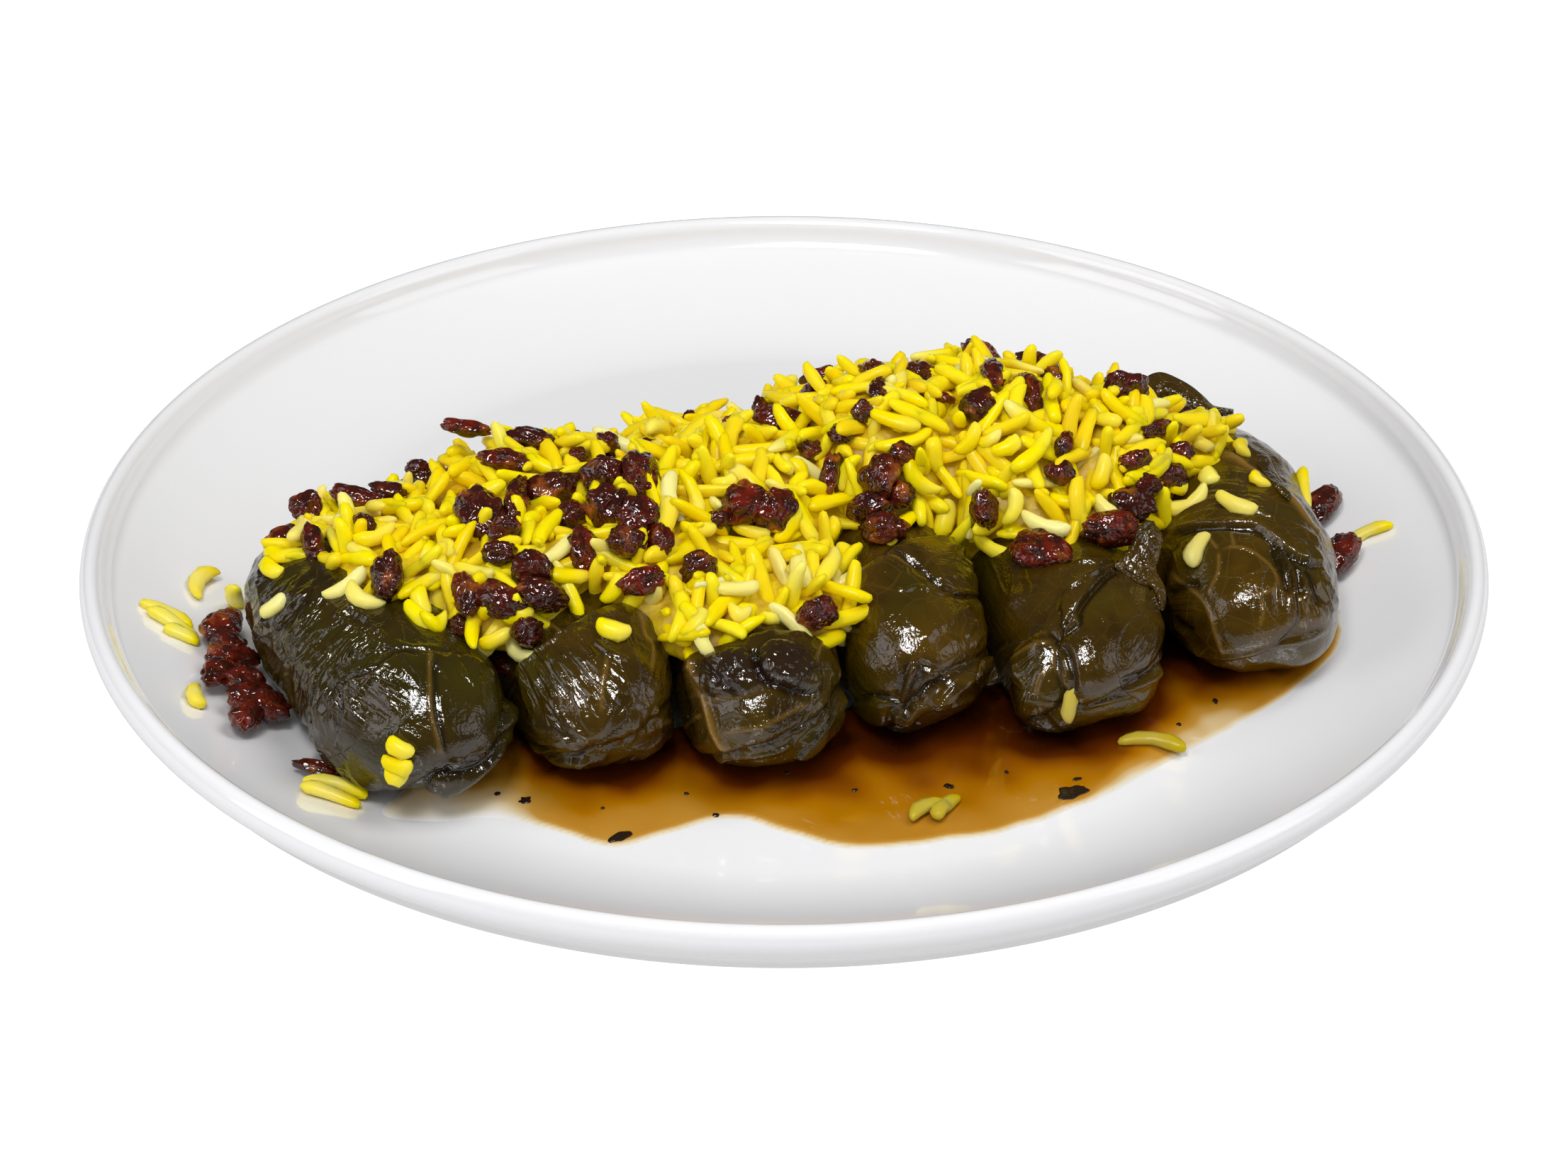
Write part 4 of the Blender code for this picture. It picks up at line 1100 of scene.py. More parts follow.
def porcelain_look():
    look, shader, tree = new_look("white_porcelain", 0.16, coat=1.0, coat_roughness=0.03)
    paint_over(tree, shader, mixed(tree, noise_node(tree, 18.0, 2.0), *PORCELAIN_WHITE))
    return look


# The plate


def plate_top(radius):
    """Height of the plate's upper surface inside the lip."""
    out = np.maximum(0.0, radius - FLOOR_RADIUS) / (WALL_RADIUS - FLOOR_RADIUS)
    return FLOOR_TOP + WALL_RISE * out**WALL_SWEEP


def plate_normal(x, y):
    """Direction square to the plate's upper surface at a place in metres."""
    radius = math.hypot(x, y)
    step = MM / 2
    slope = (plate_top(radius + step) - plate_top(radius - step)) / (2 * step)
    return Vector((-x / radius * slope, -y / radius * slope, 1)).normalized()


def plate_profile():
    """From the middle of the well, out over the lip, and back below the plate to the middle."""
    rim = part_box("plate")[1].x
    top = [(radius, FLOOR_TOP) for radius in (0, 0.04, 0.07, FLOOR_RADIUS)]
    top += [(r, plate_top(r)) for r in np.linspace(FLOOR_RADIUS, WALL_END, 22)[1:]]
    lip_middle = (rim - LIP_HALF_WIDTH, plate_top(WALL_RADIUS) + LIP_LIFT)
    lip = []
    for degrees in range(170, -121, -10):
        angle = math.radians(degrees)
        across = lip_middle[0] + LIP_HALF_WIDTH * math.cos(angle)
        lip.append((across, lip_middle[1] + LIP_HALF_HEIGHT * math.sin(angle)))
    radii = np.linspace(UNDERSIDE_FROM, UNDERSIDE_TO, 14)
    under = [(r + UNDERSIDE_OUT, plate_top(r) - FLOOR_THICKNESS) for r in radii]
    foot = [
        (FOOT_OUTER_RADIUS + 0.0035, FLOOR_TOP - FLOOR_THICKNESS),
        (FOOT_OUTER_RADIUS + 0.0010, 0.0014),
        (FOOT_OUTER_RADIUS, FOOT_BEVEL_HEIGHT),
        (FOOT_OUTER_RADIUS - FOOT_BEVEL, 0),
        (FOOT_INNER_RADIUS + FOOT_BEVEL, 0),
        (FOOT_INNER_RADIUS, FOOT_BEVEL_HEIGHT),
        (FOOT_INNER_RADIUS - 0.0012, FOOT_RECESS),
        (0.04, FOOT_RECESS),
        (0, FOOT_RECESS),
    ]
    return top + lip + under + foot


def make_plate():
    """The profile is a chain of vertices grown from one corner of a plane, then spun once round."""
    profile = plate_profile()
    bpy.ops.mesh.primitive_plane_add(size=MM, location=(0, 0, 0))
    plate = bpy.context.object
    plate.name = "dinner_plate"
    bpy.ops.object.mode_set(mode="EDIT")
    shape = bmesh.from_edit_mesh(plate.data)
    corners = list(shape.verts)
    bmesh.ops.delete(shape, geom=corners[1:], context="VERTS")
    corners[0].co = (profile[0][0], 0, profile[0][1])
    corners[0].select_set(True)
    bmesh.update_edit_mesh(plate.data)
    for (radius, height), (next_radius, next_height) in zip(profile, profile[1:]):
        step = (next_radius - radius, 0, next_height - height)
        bpy.ops.mesh.extrude_region_move(TRANSFORM_OT_translate={"value": step})
    bpy.ops.mesh.select_all(action="SELECT")
    bpy.ops.mesh.spin(steps=PLATE_STEPS, angle=math.tau, center=(0, 0, 0), axis=(0, 0, 1))
    bpy.ops.mesh.select_all(action="SELECT")
    bpy.ops.mesh.remove_doubles(threshold=0.00001)
    bpy.ops.mesh.normals_make_consistent(inside=False)
    bpy.ops.object.mode_set(mode="OBJECT")
    bpy.ops.object.shade_smooth_by_angle(angle=math.radians(50))
    dress(plate, porcelain_look())
    return plate


# The rolls


def evenly(path, count):
    """So many points at even steps along a path."""
    reached = np.concatenate([[0], np.cumsum(np.linalg.norm(np.diff(path, axis=0), axis=1))])
    steps = np.linspace(0, reached[-1], count)
    return np.stack([np.interp(steps, reached, path[:, axis]) for axis in range(2)], axis=1)


def make_sheet(sight, middle, lean, bulge, left, right):
    """A thin leaf edge between two photo paths, laid over what it would run into."""
    bpy.ops.mesh.primitive_grid_add(x_subdivisions=SHEET_CUTS[0], y_subdivisions=SHEET_CUTS[1], size=1)
    sheet = bpy.context.object
    across, along = (places_of(sheet)[:, :2] + 0.5).T
    steps = np.linspace(0, 1, SHEET_SAMPLES)
    edges = []
    for side in (left, right):
        edge = evenly(smooth_path(side), SHEET_SAMPLES)
        edges.append(np.stack([np.interp(along, steps, edge[:, axis]) for axis in range(2)], axis=1))
    points = edges[0] * (1 - across)[:, None] + edges[1] * across[:, None]
    facing = (UP * lean - LOOK).normalized()
    flat = np.array([on_plane(point, mm(middle), facing) for point in points])
    wave = noise(flat / 0.005) * 0.9 + creased(flat / np.array((0.0016, 0.0016, 0.006)), 3) * 0.35
    lift = (bulge * np.sin(math.pi * across) + wave * np.sin(math.pi * np.clip(across, 0.15, 0.85))) * MM
    places = []
    for point, place, rise in zip(points, flat, lift):
        reach = (Vector(place) - CAMERA_PLACE).length - rise
        seen = sight.hit(point)
        if seen:
            reach = min(reach, (seen[1] - CAMERA_PLACE).length - SHEET_CLEARANCE - max(0.0, rise) * 0.5)
        places.append(CAMERA_PLACE + ray_through(point) * reach)
    move_to(sheet, np.array(places))
    thicken(sheet, SHEET_THICKNESS, 0)
    return sheet


def make_sheets(sight, look):
    piece = as_one([make_sheet(sight, *sheet) for sheet in LEAF_SHEETS], "leaf_edges")
    lay = places_of(piece) / MM / np.array((1.3, 1.3, 5.0))
    paint(piece, lay=lay, crimp=0.14, tone=0.8, network=0.5)
    only(piece)
    bpy.ops.mesh.customdata_custom_splitnormals_clear()
    bpy.ops.object.shade_smooth()
    dress(piece, look)
    return piece


def make_scraps(sight, look):
    round_places, faces = ball(3)
    parts = []
    for index, (point, (length, width), turn) in enumerate(SCRAPS):
        ragged = 1 + 0.9 * noise(round_places * 2.4 + index * 3.7)
        _, place, normal = sight.hit(point)
        laid = laid_matrix(place, normal, math.radians(turn), 0)
        size = np.array((length, width * 1.6, 3.0)) / PIXELS_PER_MM * MM
        parts.append((round_places * ragged[:, None], faces, laid, size, {"tone": 0.2, "scorched": 0.7}))
    return joined("leaf_scraps", parts, look)


def forward(roll):
    """Direction of a roll's axis, from its back to its front."""
    heading = math.radians(roll["heading"])
    return Vector((math.sin(heading), -math.cos(heading), 0))


def roll_frame(roll):
    """Matrix from a roll's own axes to the plate's."""
    width, length, height = mm(roll["size"])
    middle = mm((*roll["dome"], 0)) - forward(roll) * (length - width) / 2
    middle.z = FLOOR_TOP + GAP + ROLL_LOW_SHARE * height
    return Matrix.Translation(middle) @ Matrix.Rotation(math.radians(roll["heading"]), 4, "Z")


def plump(roll, box_places):
    """Places of a box from -1 to 1, taken to the roll's plump surface with its flattened underside."""
    width, length, height = np.array(roll["size"]) * MM
    x, y, z = np.abs(box_places).T
    high = box_places[:, 2] > 0
    roundness = np.where(high, TOP_ROUNDNESS, BOTTOM_ROUNDNESS)
    across = (x**roundness + z**roundness) ** (1 / roundness)
    reach = (across**END_ROUNDNESS + y**END_ROUNDNESS) ** (1 / END_ROUNDNESS)
    share = np.where(high, 1 - ROLL_LOW_SHARE, ROLL_LOW_SHARE)
    half = np.stack([np.full_like(x, width / 2), np.full_like(x, length / 2), height * share], axis=1)
    places = box_places / reach[:, None] * half
    outward = places / half**2
    outward /= np.linalg.norm(outward, axis=1)[:, None]
    for direction, spread, rise in roll["knobs"]:
        off = np.linalg.norm(places - np.array(Vector(direction).normalized()) * half, axis=1)
        places = places + outward * (rise * MM * bell(off, spread * MM))[:, None]
    return places


def meeting_planes(name):
    """Where a roll meets its neighbours: a point of each plane and its direction away from the roll."""
    names = list(ROLLS)
    index = names.index(name)
    planes = []
    for other in names[max(0, index - 1) : index] + names[index + 1 : index + 2]:
        own = ROLLS[name]
        beside = ROLLS[other]
        away = (forward(own) + forward(beside)).normalized().cross(UP)
        start = mm((*own["dome"], 0))
        step = mm((*beside["dome"], 0)) - start
        if away.dot(step) < 0:
            away = -away
        share = own["size"][0] / (own["size"][0] + beside["size"][0])
        planes.append((np.array(start + step * share), np.array(away)))
    return planes


def roll_grid():
    """A box of small squares, finer at its front, that every roll starts from."""
    bpy.ops.mesh.primitive_cube_add(size=2)
    grid = bpy.context.object
    bpy.ops.object.mode_set(mode="EDIT")
    for axis, cuts in ((0, (ROLL_CUTS_ACROSS,)), (1, (ROLL_CUTS_ALONG, 1)), (2, (ROLL_CUTS_HIGH,))):
        for number in cuts:
            shape = bmesh.from_edit_mesh(grid.data)
            for edge in shape.edges:
                edge.select_set(False)
            for edge in shape.edges:
                ends = edge.verts
                edge.select_set(abs(ends[0].co[axis] - ends[1].co[axis]) > 0.0001)
            bmesh.update_edit_mesh(grid.data)
            bpy.ops.mesh.subdivide(number_cuts=number)
    bpy.ops.object.mode_set(mode="OBJECT")
    places = places_of(grid)
    places[:, 1] += 0.2 * (places[:, 1] ** 2 - 1)
    move_to(grid, places)
    return grid


def facing_camera(places, normals):
    """How squarely the surface faces the camera, from 1 down to -1."""
    towards = np.array(CAMERA_PLACE) - places
    towards /= np.linalg.norm(towards, axis=1)[:, None]
    return (normals * towards).sum(axis=1)


def inside_loop(points, loop):
    """True for points inside a closed loop."""
    inside = np.zeros(len(points), bool)
    for start, end in zip(loop, np.roll(loop, -1, axis=0)):
        crosses = (start[1] > points[:, 1]) != (end[1] > points[:, 1])
        at = start[0] + (points[:, 1] - start[1]) * (end[0] - start[0]) / (end[1] - start[1] + 1e-12)
        inside ^= crosses & (points[:, 0] < at)
    return inside


def near_box(points, path, margin):
    """True for points inside the box round a path, or within a margin of it."""
    return ((points > path.min(axis=0) - margin) & (points < path.max(axis=0) + margin)).all(axis=1)


def strengthen(values, chosen, least):
    """Raises the chosen values to the least that they may be."""
    values[chosen] = np.maximum(values[chosen], least)


def folded(name, points, seen):
    """Height of the leaf's folds over each photo point, how much vein colour shows there, and painted shade
    at the feet of edges, in grooves and round bulges.
    """
    height = np.zeros(len(points))
    vein = np.zeros(len(points))
    crease = np.zeros(len(points))
    for roundness, rise, corners in LOBES[name]:
        loop = smooth_loop(corners, 3)
        near = near_box(points, loop, LOBE_MARGIN) & (seen > 0)
        signed, _ = beside_path(points[near], np.vstack([loop, loop[:1]]))
        off = np.abs(signed)
        deep = np.where(inside_loop(points[near], loop), off, 0) / PIXELS_PER_MM
        rest = 1 - np.clip(deep / roundness, 0, 1)
        height[near] += np.sqrt(1 - rest**2) * rise * LOBE_STRENGTH * seen[near]
        # Painted shade round the rim of a bulge
        strengthen(crease, near, bell(off / PIXELS_PER_MM, 0.35) * seen[near] * 0.6)
    for kind, width, rise, corners in FOLDS[name]:
        rise *= FOLD_STRENGTH
        path = smooth_path(corners)
        near = near_box(points, path, FOLD_MARGIN) & (seen > 0)
        signed, passed = beside_path(points[near], path)
        signed = signed / PIXELS_PER_MM
        taper = smooth_step(passed, 0.0, FOLD_TAPER) * smooth_step(1 - passed, 0.0, FOLD_TAPER) * seen[near]
        crest = bell(signed, width) * taper
        if kind == "edge":
            raised = smooth_step(signed, -width, width) * np.exp(-np.clip(signed, 0, None) / EDGE_FADE)
            shadow = bell(signed + 1.6 * width, 1.1 * width)
            height[near] += (raised * rise + crest * 0.25 * rise - shadow * 0.35 * rise) * taper
            # Painted shade at the foot of an edge, over the dip there
            strengthen(crease, near, shadow * taper * 0.8)
            strengthen(vein, near, crest * 0.12)
        elif kind == "groove":
            height[near] -= crest * rise
            # Painted shade in a groove
            strengthen(crease, near, crest * 0.7)
        else:
            height[near] += crest * rise
        if kind in ("vein", "rib"):
            strengthen(vein, near, crest * (1.0 if kind == "rib" else 0.55))
    return height * MM, vein, crease


def strand_lay(strand, points):
    """Coordinates of photo points in a field of strands, and how deep inside it each is, from 0 to 1."""
    direction, middle, half, pull, spacing, _ = strand
    inside = np.clip(1.0 - np.linalg.norm((points - middle) / half, axis=1), 0, 1)
    off = (points - pull) / PIXELS_PER_MM
    to_middle = np.subtract(middle, pull) / PIXELS_PER_MM
    usual = np.hypot(*to_middle)
    along_middle = off @ to_middle
    beside_middle = to_middle[0] * off[:, 1] - to_middle[1] * off[:, 0]
    turned = np.arctan2(beside_middle, along_middle) * usual
    distance = np.hypot(off[:, 0], off[:, 1])
    along, across = (turned, distance) if direction == "round" else (distance, turned)
    return np.stack([across / spacing, along / (5.5 * spacing), np.full(len(along), usual)], axis=1), inside


def stranded(name, points):
    """Height of the thick strands of pulled leaf over each photo point."""
    height = np.zeros(len(points))
    for strand in STRANDS[name]:
        lay, inside = strand_lay(strand, points)
        near = inside > 0
        crest = creased(lay[near] * 0.5, lay[0, 2]) ** 1.5
        height[near] += crest * strand[-1] * 1.3 * smooth_step(inside[near], 0.0, 0.4)
    return height * MM


def wrinkle_lay(name, own, points, seen, index):
    """Coordinates that the leaf's finest wrinkles follow, and their height in millimetres."""
    offset = index * 17.3
    lay = own / MM / np.array((1.9, 7.0, 1.9)) + offset
    patchy = smooth_step(noise(own / 0.009 + offset + 80), -0.25, 0.3)
    plain_rise = ROLLS[name]["crumple"] * (0.02 + 0.11 * patchy)
    deepest = np.zeros(len(own))
    strand_rise = np.zeros(len(own))
    for strand in STRANDS[name]:
        strand_place, inside = strand_lay(strand, points)
        inside = inside * seen
        chosen = inside > deepest
        lay[chosen] = strand_place[chosen]
        strand_rise[chosen] = strand[-1] * 0.45
        deepest = np.maximum(deepest, inside)
    crimp = strand_rise * smooth_step(deepest, 0.10, 0.4)
    return lay, np.where(deepest > 0, crimp, plain_rise)


def crumpled(name, own_places, index):
    """Height of the leaf's own unevenness: soft lumps of the filling, then wrinkles."""
    offset = index * 17.3
    lumps = noise(own_places / 0.0095 + offset) * 1.1 + noise(own_places / 0.0040 + offset) * 0.35
    along = own_places / np.array((0.0030, 0.0085, 0.0030)) + offset
    wrinkle_place = smooth_step(noise(own_places / 0.011 + offset + 50), -0.25, 0.25)
    wrinkles = creased(along, index) ** 2 * 0.45 * wrinkle_place
    return (lumps + wrinkles * ROLLS[name]["crumple"]) * MM


def make_roll(name, index, grid, look):
    roll = ROLLS[name]
    piece = grid.copy()
    piece.data = grid.data.copy()
    piece.name = "leaf_roll_" + str(index + 1)
    bpy.context.collection.objects.link(piece)
    own = plump(roll, places_of(grid))
    matrix = np.array(roll_frame(roll))
    places = own @ matrix[:3, :3].T + matrix[:3, 3]
    free = np.ones(len(places))
    for point, away in meeting_planes(name):
        past = (places - point) @ away + GAP / 2
        pressed = past > -PRESS_DEPTH
        shift = past + PRESS_DEPTH * np.exp(-(past + PRESS_DEPTH) / PRESS_DEPTH)
        places = places - np.where(pressed, shift, 0)[:, None] * away
        free *= smooth_step(-past, 0.0003, 0.0025)
    free *= smooth_step(places[:, 2], FLOOR_TOP + 0.0006, FLOOR_TOP + 0.0030)
    move_to(piece, places)
    normals = normals_of(piece)
    points = in_photo(places)
    seen = smooth_step(facing_camera(places, normals), SEEN_FROM, SEEN_FULLY)
    height, vein, crease = folded(name, points, seen)
    height += stranded(name, points) * seen
    scorched = np.zeros(len(places))
    for middle, half in DARK_PATCHES.get(name, []):
        off = np.linalg.norm((points - middle) / half, axis=1)
        scorched = np.maximum(scorched, smooth_step(1.15 - off, 0.0, 0.7) * 0.7)
    puckers = creased(own / 0.0016, index + 20) * 0.5 * MM * scorched
    relief = (height + puckers + crumpled(name, own, index)) * (0.15 + 0.85 * free)
    move_to(piece, places + normals * relief[:, None])
    lay, crimp = wrinkle_lay(name, own, points, seen, index)
    # The crease shade is painted shade at the feet of edges, in grooves and round bulges
    paint(piece, lay=lay, crimp=crimp + 0.15 * scorched, vein=vein, crease=crease, scorched=scorched)
    paint(piece, tone=roll["tone"], network=roll["tone"] ** 3 * NETWORK_SHOWS)
    only(piece)
    bpy.ops.object.shade_smooth()
    dress(piece, look)
    return piece


# The rice


def make_core(look):
    """The mound that the grains lie on: its lumps joined, and run together."""
    lumps = []
    for (x, y), (across, along), (level, rise, sink) in HEAP:
        bpy.ops.mesh.primitive_uv_sphere_add(segments=32, ring_count=20, radius=1, location=(0, 0, 0))
        lump = bpy.context.object
        places = places_of(lump)
        size = np.full((len(places), 3), (across - CORE_INSET, along - CORE_INSET, sink - 1))
        size[places[:, 2] > 0, 2] = rise - CORE_INSET
        move_to(lump, places * size * MM + np.array(mm((x, y, level))))
        lumps.append(lump)
    core = as_one(lumps, "rice_core")
    change = core.modifiers.new("run_together", "REMESH")
    change.mode = "VOXEL"
    change.voxel_size = CORE_VOXEL
    soften = core.modifiers.new("soften", "SMOOTH")
    soften.iterations = CORE_SMOOTHING
    apply_all(core)
    places = places_of(core)
    places[:, 2] = np.maximum(places[:, 2], FLOOR_TOP + GAP)
    bumps = creased(places / CORE_BUMP_SIZE, 3) * 0.5
    move_to(core, places + normals_of(core) * bumps[:, None] * MM)
    bpy.ops.object.shade_smooth()
    dress(core, look)
    return core


def heap_top(x, y):
    """Height of the heap's surface in metres at a place in metres, or None beside it."""
    heights = []
    for (middle_x, middle_y), (across, along), (level, rise, _) in HEAP:
        out = ((x / MM - middle_x) / across) ** 2 + ((y / MM - middle_y) / along) ** 2
        if out < 0.98:
            heights.append((level + rise * math.sqrt(1 - out)) * MM)
    return max(heights, default=None)


class PhotoSight:
    """Finds what the camera sees at a photo point."""

    def __init__(self, pieces):
        graph = bpy.context.evaluated_depsgraph_get()
        self.trees = [(piece, BVHTree.FromObject(piece, graph)) for piece in pieces]

    def hit(self, point):
        """The piece that the ray through a photo point meets first, with the place and normal there."""
        found = []
        for piece, tree in self.trees:
            place, normal, _, distance = tree.ray_cast(CAMERA_PLACE, ray_through(point))
            if place:
                found.append((distance, piece.name, place, normal))
        return min(found)[1:] if found else None

    def level(self, point, lift):
        """The piece at a photo point, a place lifted off it, and the even normal of what is round it."""
        name, place, normal = self.hit(point)
        if name == "rice_core":
            normal = heap_normal(place.x, place.y)
            lift = lift + CORE_INSET * MM
        elif name == "dinner_plate":
            below = [self.hit((point[0], point[1] + step)) for step in RIDGE_SEARCH]
            ridge = [near for near in below if near and near[0] == "rice_core"]
            if ridge:
                return "rice_core", on_plane(point, ridge[0][1], LOOK), (UP - LOOK).normalized()
        else:
            round_it = [self.hit((point[0] + x, point[1] + y)) for x, y in ROUND_A_POINT]
            normal = sum((near[2] for near in round_it if near), normal).normalized()
        return name, place + normal * lift, normal


def on_plane(point, place, normal):
    """Where the ray through a photo point meets a plane."""
    direction = ray_through(point)
    reach = (place - CAMERA_PLACE).dot(normal) / direction.dot(normal)
    return CAMERA_PLACE + direction * reach


def laid_between(sight, start, end, lift, lengths):
    """Matrix and length of a piece along X whose ends show at two photo points; lift and lengths in mm."""
    middle = ((start[0] + end[0]) / 2, (start[1] + end[1]) / 2)
    _, place, normal = sight.level(middle, lift * MM)
    facing = (normal - ray_through(middle) * 0.35).normalized()
    place = on_plane(middle, place, facing)
    along = on_plane(end, place, facing) - on_plane(start, place, facing)
    length = min(max(along.length, lengths[0] * MM), lengths[1] * MM)
    along = (along - facing * along.dot(facing)).normalized()
    turn = Matrix((along, facing.cross(along), facing)).transposed().to_4x4()
    return Matrix.Translation(place) @ turn, length


def heap_normal(x, y):
    step = 0.002
    here = heap_top(x, y)
    rise_x = (heap_top(x + step, y) or here - step) - (heap_top(x - step, y) or here - step)
    rise_y = (heap_top(x, y + step) or here - step) - (heap_top(x, y - step) or here - step)
    return Vector((-rise_x, -rise_y, 2 * step)).normalized()


def grain_shape(kind, dice):
    """A boiled grain along X: slender, with ends, a bend and a waist that differ from grain to grain."""
    bpy.ops.mesh.primitive_uv_sphere_add(segments=8, ring_count=8, radius=0.5, rotation=(0, math.pi / 2, 0))
    bpy.ops.object.transform_apply(location=False, rotation=True, scale=False)
    places, faces = shape_of(bpy.context.object)
    x = places[:, 0] * 2
    ring = np.sqrt(np.clip(1 - x**2, 0, 1))
    fullness = np.where(x > 0, dice.uniform(0.62, 1.0), dice.uniform(0.55, 0.85))
    widen = np.where(ring > 0.01, np.maximum(ring, 0.01) ** (fullness - 1), 0)
    x = np.sign(x) * np.abs(x) ** 0.78
    places[:, 0] = x / 2
    waist = 1 - dice.uniform(0, 0.16) * bell(x - dice.uniform(-0.4, 0.4), 0.3)
    swell = 1 + dice.uniform(-0.2, 0.2) * x
    places[:, 1] *= widen * waist * swell * dice.uniform(0.92, 1.08)
    places[:, 2] *= widen * waist * swell * dice.uniform(0.70, 0.88)
    knobbly = noise(places * 5 + dice.uniform(0, 50))
    places[:, 1:] *= (1 + 0.3 * knobbly)[:, None]
    bend = dice.uniform(0.02, 0.40) if kind > 1 else 0.6
    places = places * np.array((GRAIN_LENGTH, GRAIN_WIDTH, GRAIN_WIDTH))
    places[:, 1] += bend * GRAIN_WIDTH * (x**2 - 0.4)
    places[:, 2] += dice.uniform(-0.15, 0.15) * GRAIN_WIDTH * np.sin(x * 2.4)
    return places, faces, x


def laid_matrix(place, normal, yaw, tilt):
    """Matrix that lays a piece along X on a surface, turned by yaw about its normal and tipped by tilt."""
    turn = normal.to_track_quat("Z", "Y").to_matrix().to_4x4()
    return Matrix.Translation(place) @ turn @ Matrix.Rotation(yaw, 4, "Z") @ Matrix.Rotation(tilt, 4, "Y")


def loose_matrix(place, turn, tilt=0.0):
    """Matrix that lays a loose piece along X on the plate, turned and tipped in degrees."""
    place = mm(place)
    lean = UP.rotation_difference(plate_normal(place.x, place.y)).to_matrix().to_4x4()
    laid = laid_matrix(Vector(), UP, math.radians(turn), math.radians(tilt))
    return Matrix.Translation(place) @ lean @ laid


def joined(name, parts, look):
    """One piece from many (places, faces, matrix, size, painted values), none above the solids' top."""
    places = []
    faces = []
    painted = {}
    count = 0
    for shape_places, shape_faces, matrix, size, values in parts:
        own = np.array(matrix)
        laid = (shape_places * size) @ own[:3, :3].T + own[:3, 3]
        laid[:, 2] -= max(0.0, laid[:, 2].max() - cad_bounds[1].z)
        places.append(laid)
        faces += [tuple(i + count for i in face) for face in shape_faces]
        count += len(shape_places)
        for key, value in values.items():
            painted.setdefault(key, []).append(np.broadcast_to(value, len(shape_places)))
    mesh = bpy.data.meshes.new(name)
    mesh.from_pydata(np.concatenate(places).tolist(), [], faces)
    piece = bpy.data.objects.new(name, mesh)
    bpy.context.collection.objects.link(piece)
    paint(piece, **{key: np.concatenate(values) for key, values in painted.items()})
    only(piece)
    bpy.ops.object.shade_smooth()
    dress(piece, look)
    return piece


def grain_values(dice, x):
    """Colour of one grain: most are deep yellow, some pale at one end or all over."""
    kind = dice.random()
    if kind < 0.03:
        pale = np.full(len(x), dice.uniform(0.4, 0.9))
    elif kind < 0.16:
        pale = smooth_step(x * dice.choice((-1, 1)), -0.3, 1.0) * dice.uniform(0.2, 0.6)
    else:
        pale = np.full(len(x), dice.uniform(0, 0.04))
    return {"tint": dice.uniform(0, 1), "pale": pale, "soaked": 0.0}


def roll_height(tree, x, y):
    """Height of the rolls' top at a place, or the plate's floor beside them."""
    found = tree.ray_cast(Vector((x, y, 0.2)), Vector((0, 0, -1)))
    return found[0].z if found[0] else FLOOR_TOP


def spread_over_heap(dice, count, spacing, taken, rolls_tree, only_behind=False):
    """Places on the heap that keep apart, as (place, normal)."""
    found = []
    cells = {}

    def cell(place):
        return tuple(int(math.floor(v / HEAP_CELL)) for v in place)

    for place, room in taken:
        cells.setdefault(cell(place), []).append((place, room))
    areas = [across * along for _, (across, along), _ in HEAP]
    for _ in range(count * 30):
        if len(found) == count:
            break
        (middle_x, middle_y), (across, along), _ = dice.choices(HEAP, areas)[0]
        x = (middle_x + across * dice.uniform(-1, 1)) * MM
        y = (middle_y + along * dice.uniform(-1, 1)) * MM
        z = heap_top(x, y)
        if z is None or z < roll_height(rolls_tree, x, y) + 0.0008:
            continue
        if only_behind and heap_normal(x, y).y < 0.3:
            continue
        place = Vector((x, y, z))
        home = cell(place)
        around = itertools.product(*[(v - 1, v, v + 1) for v in home])
        near = [there for key in around for there in cells.get(key, [])]
        if any((place - other).length < max(spacing, room) for other, room in near):
            continue
        cells.setdefault(home, []).append((place, spacing))
        taken.append((place, spacing))
        found.append((place, heap_normal(x, y)))
    return found


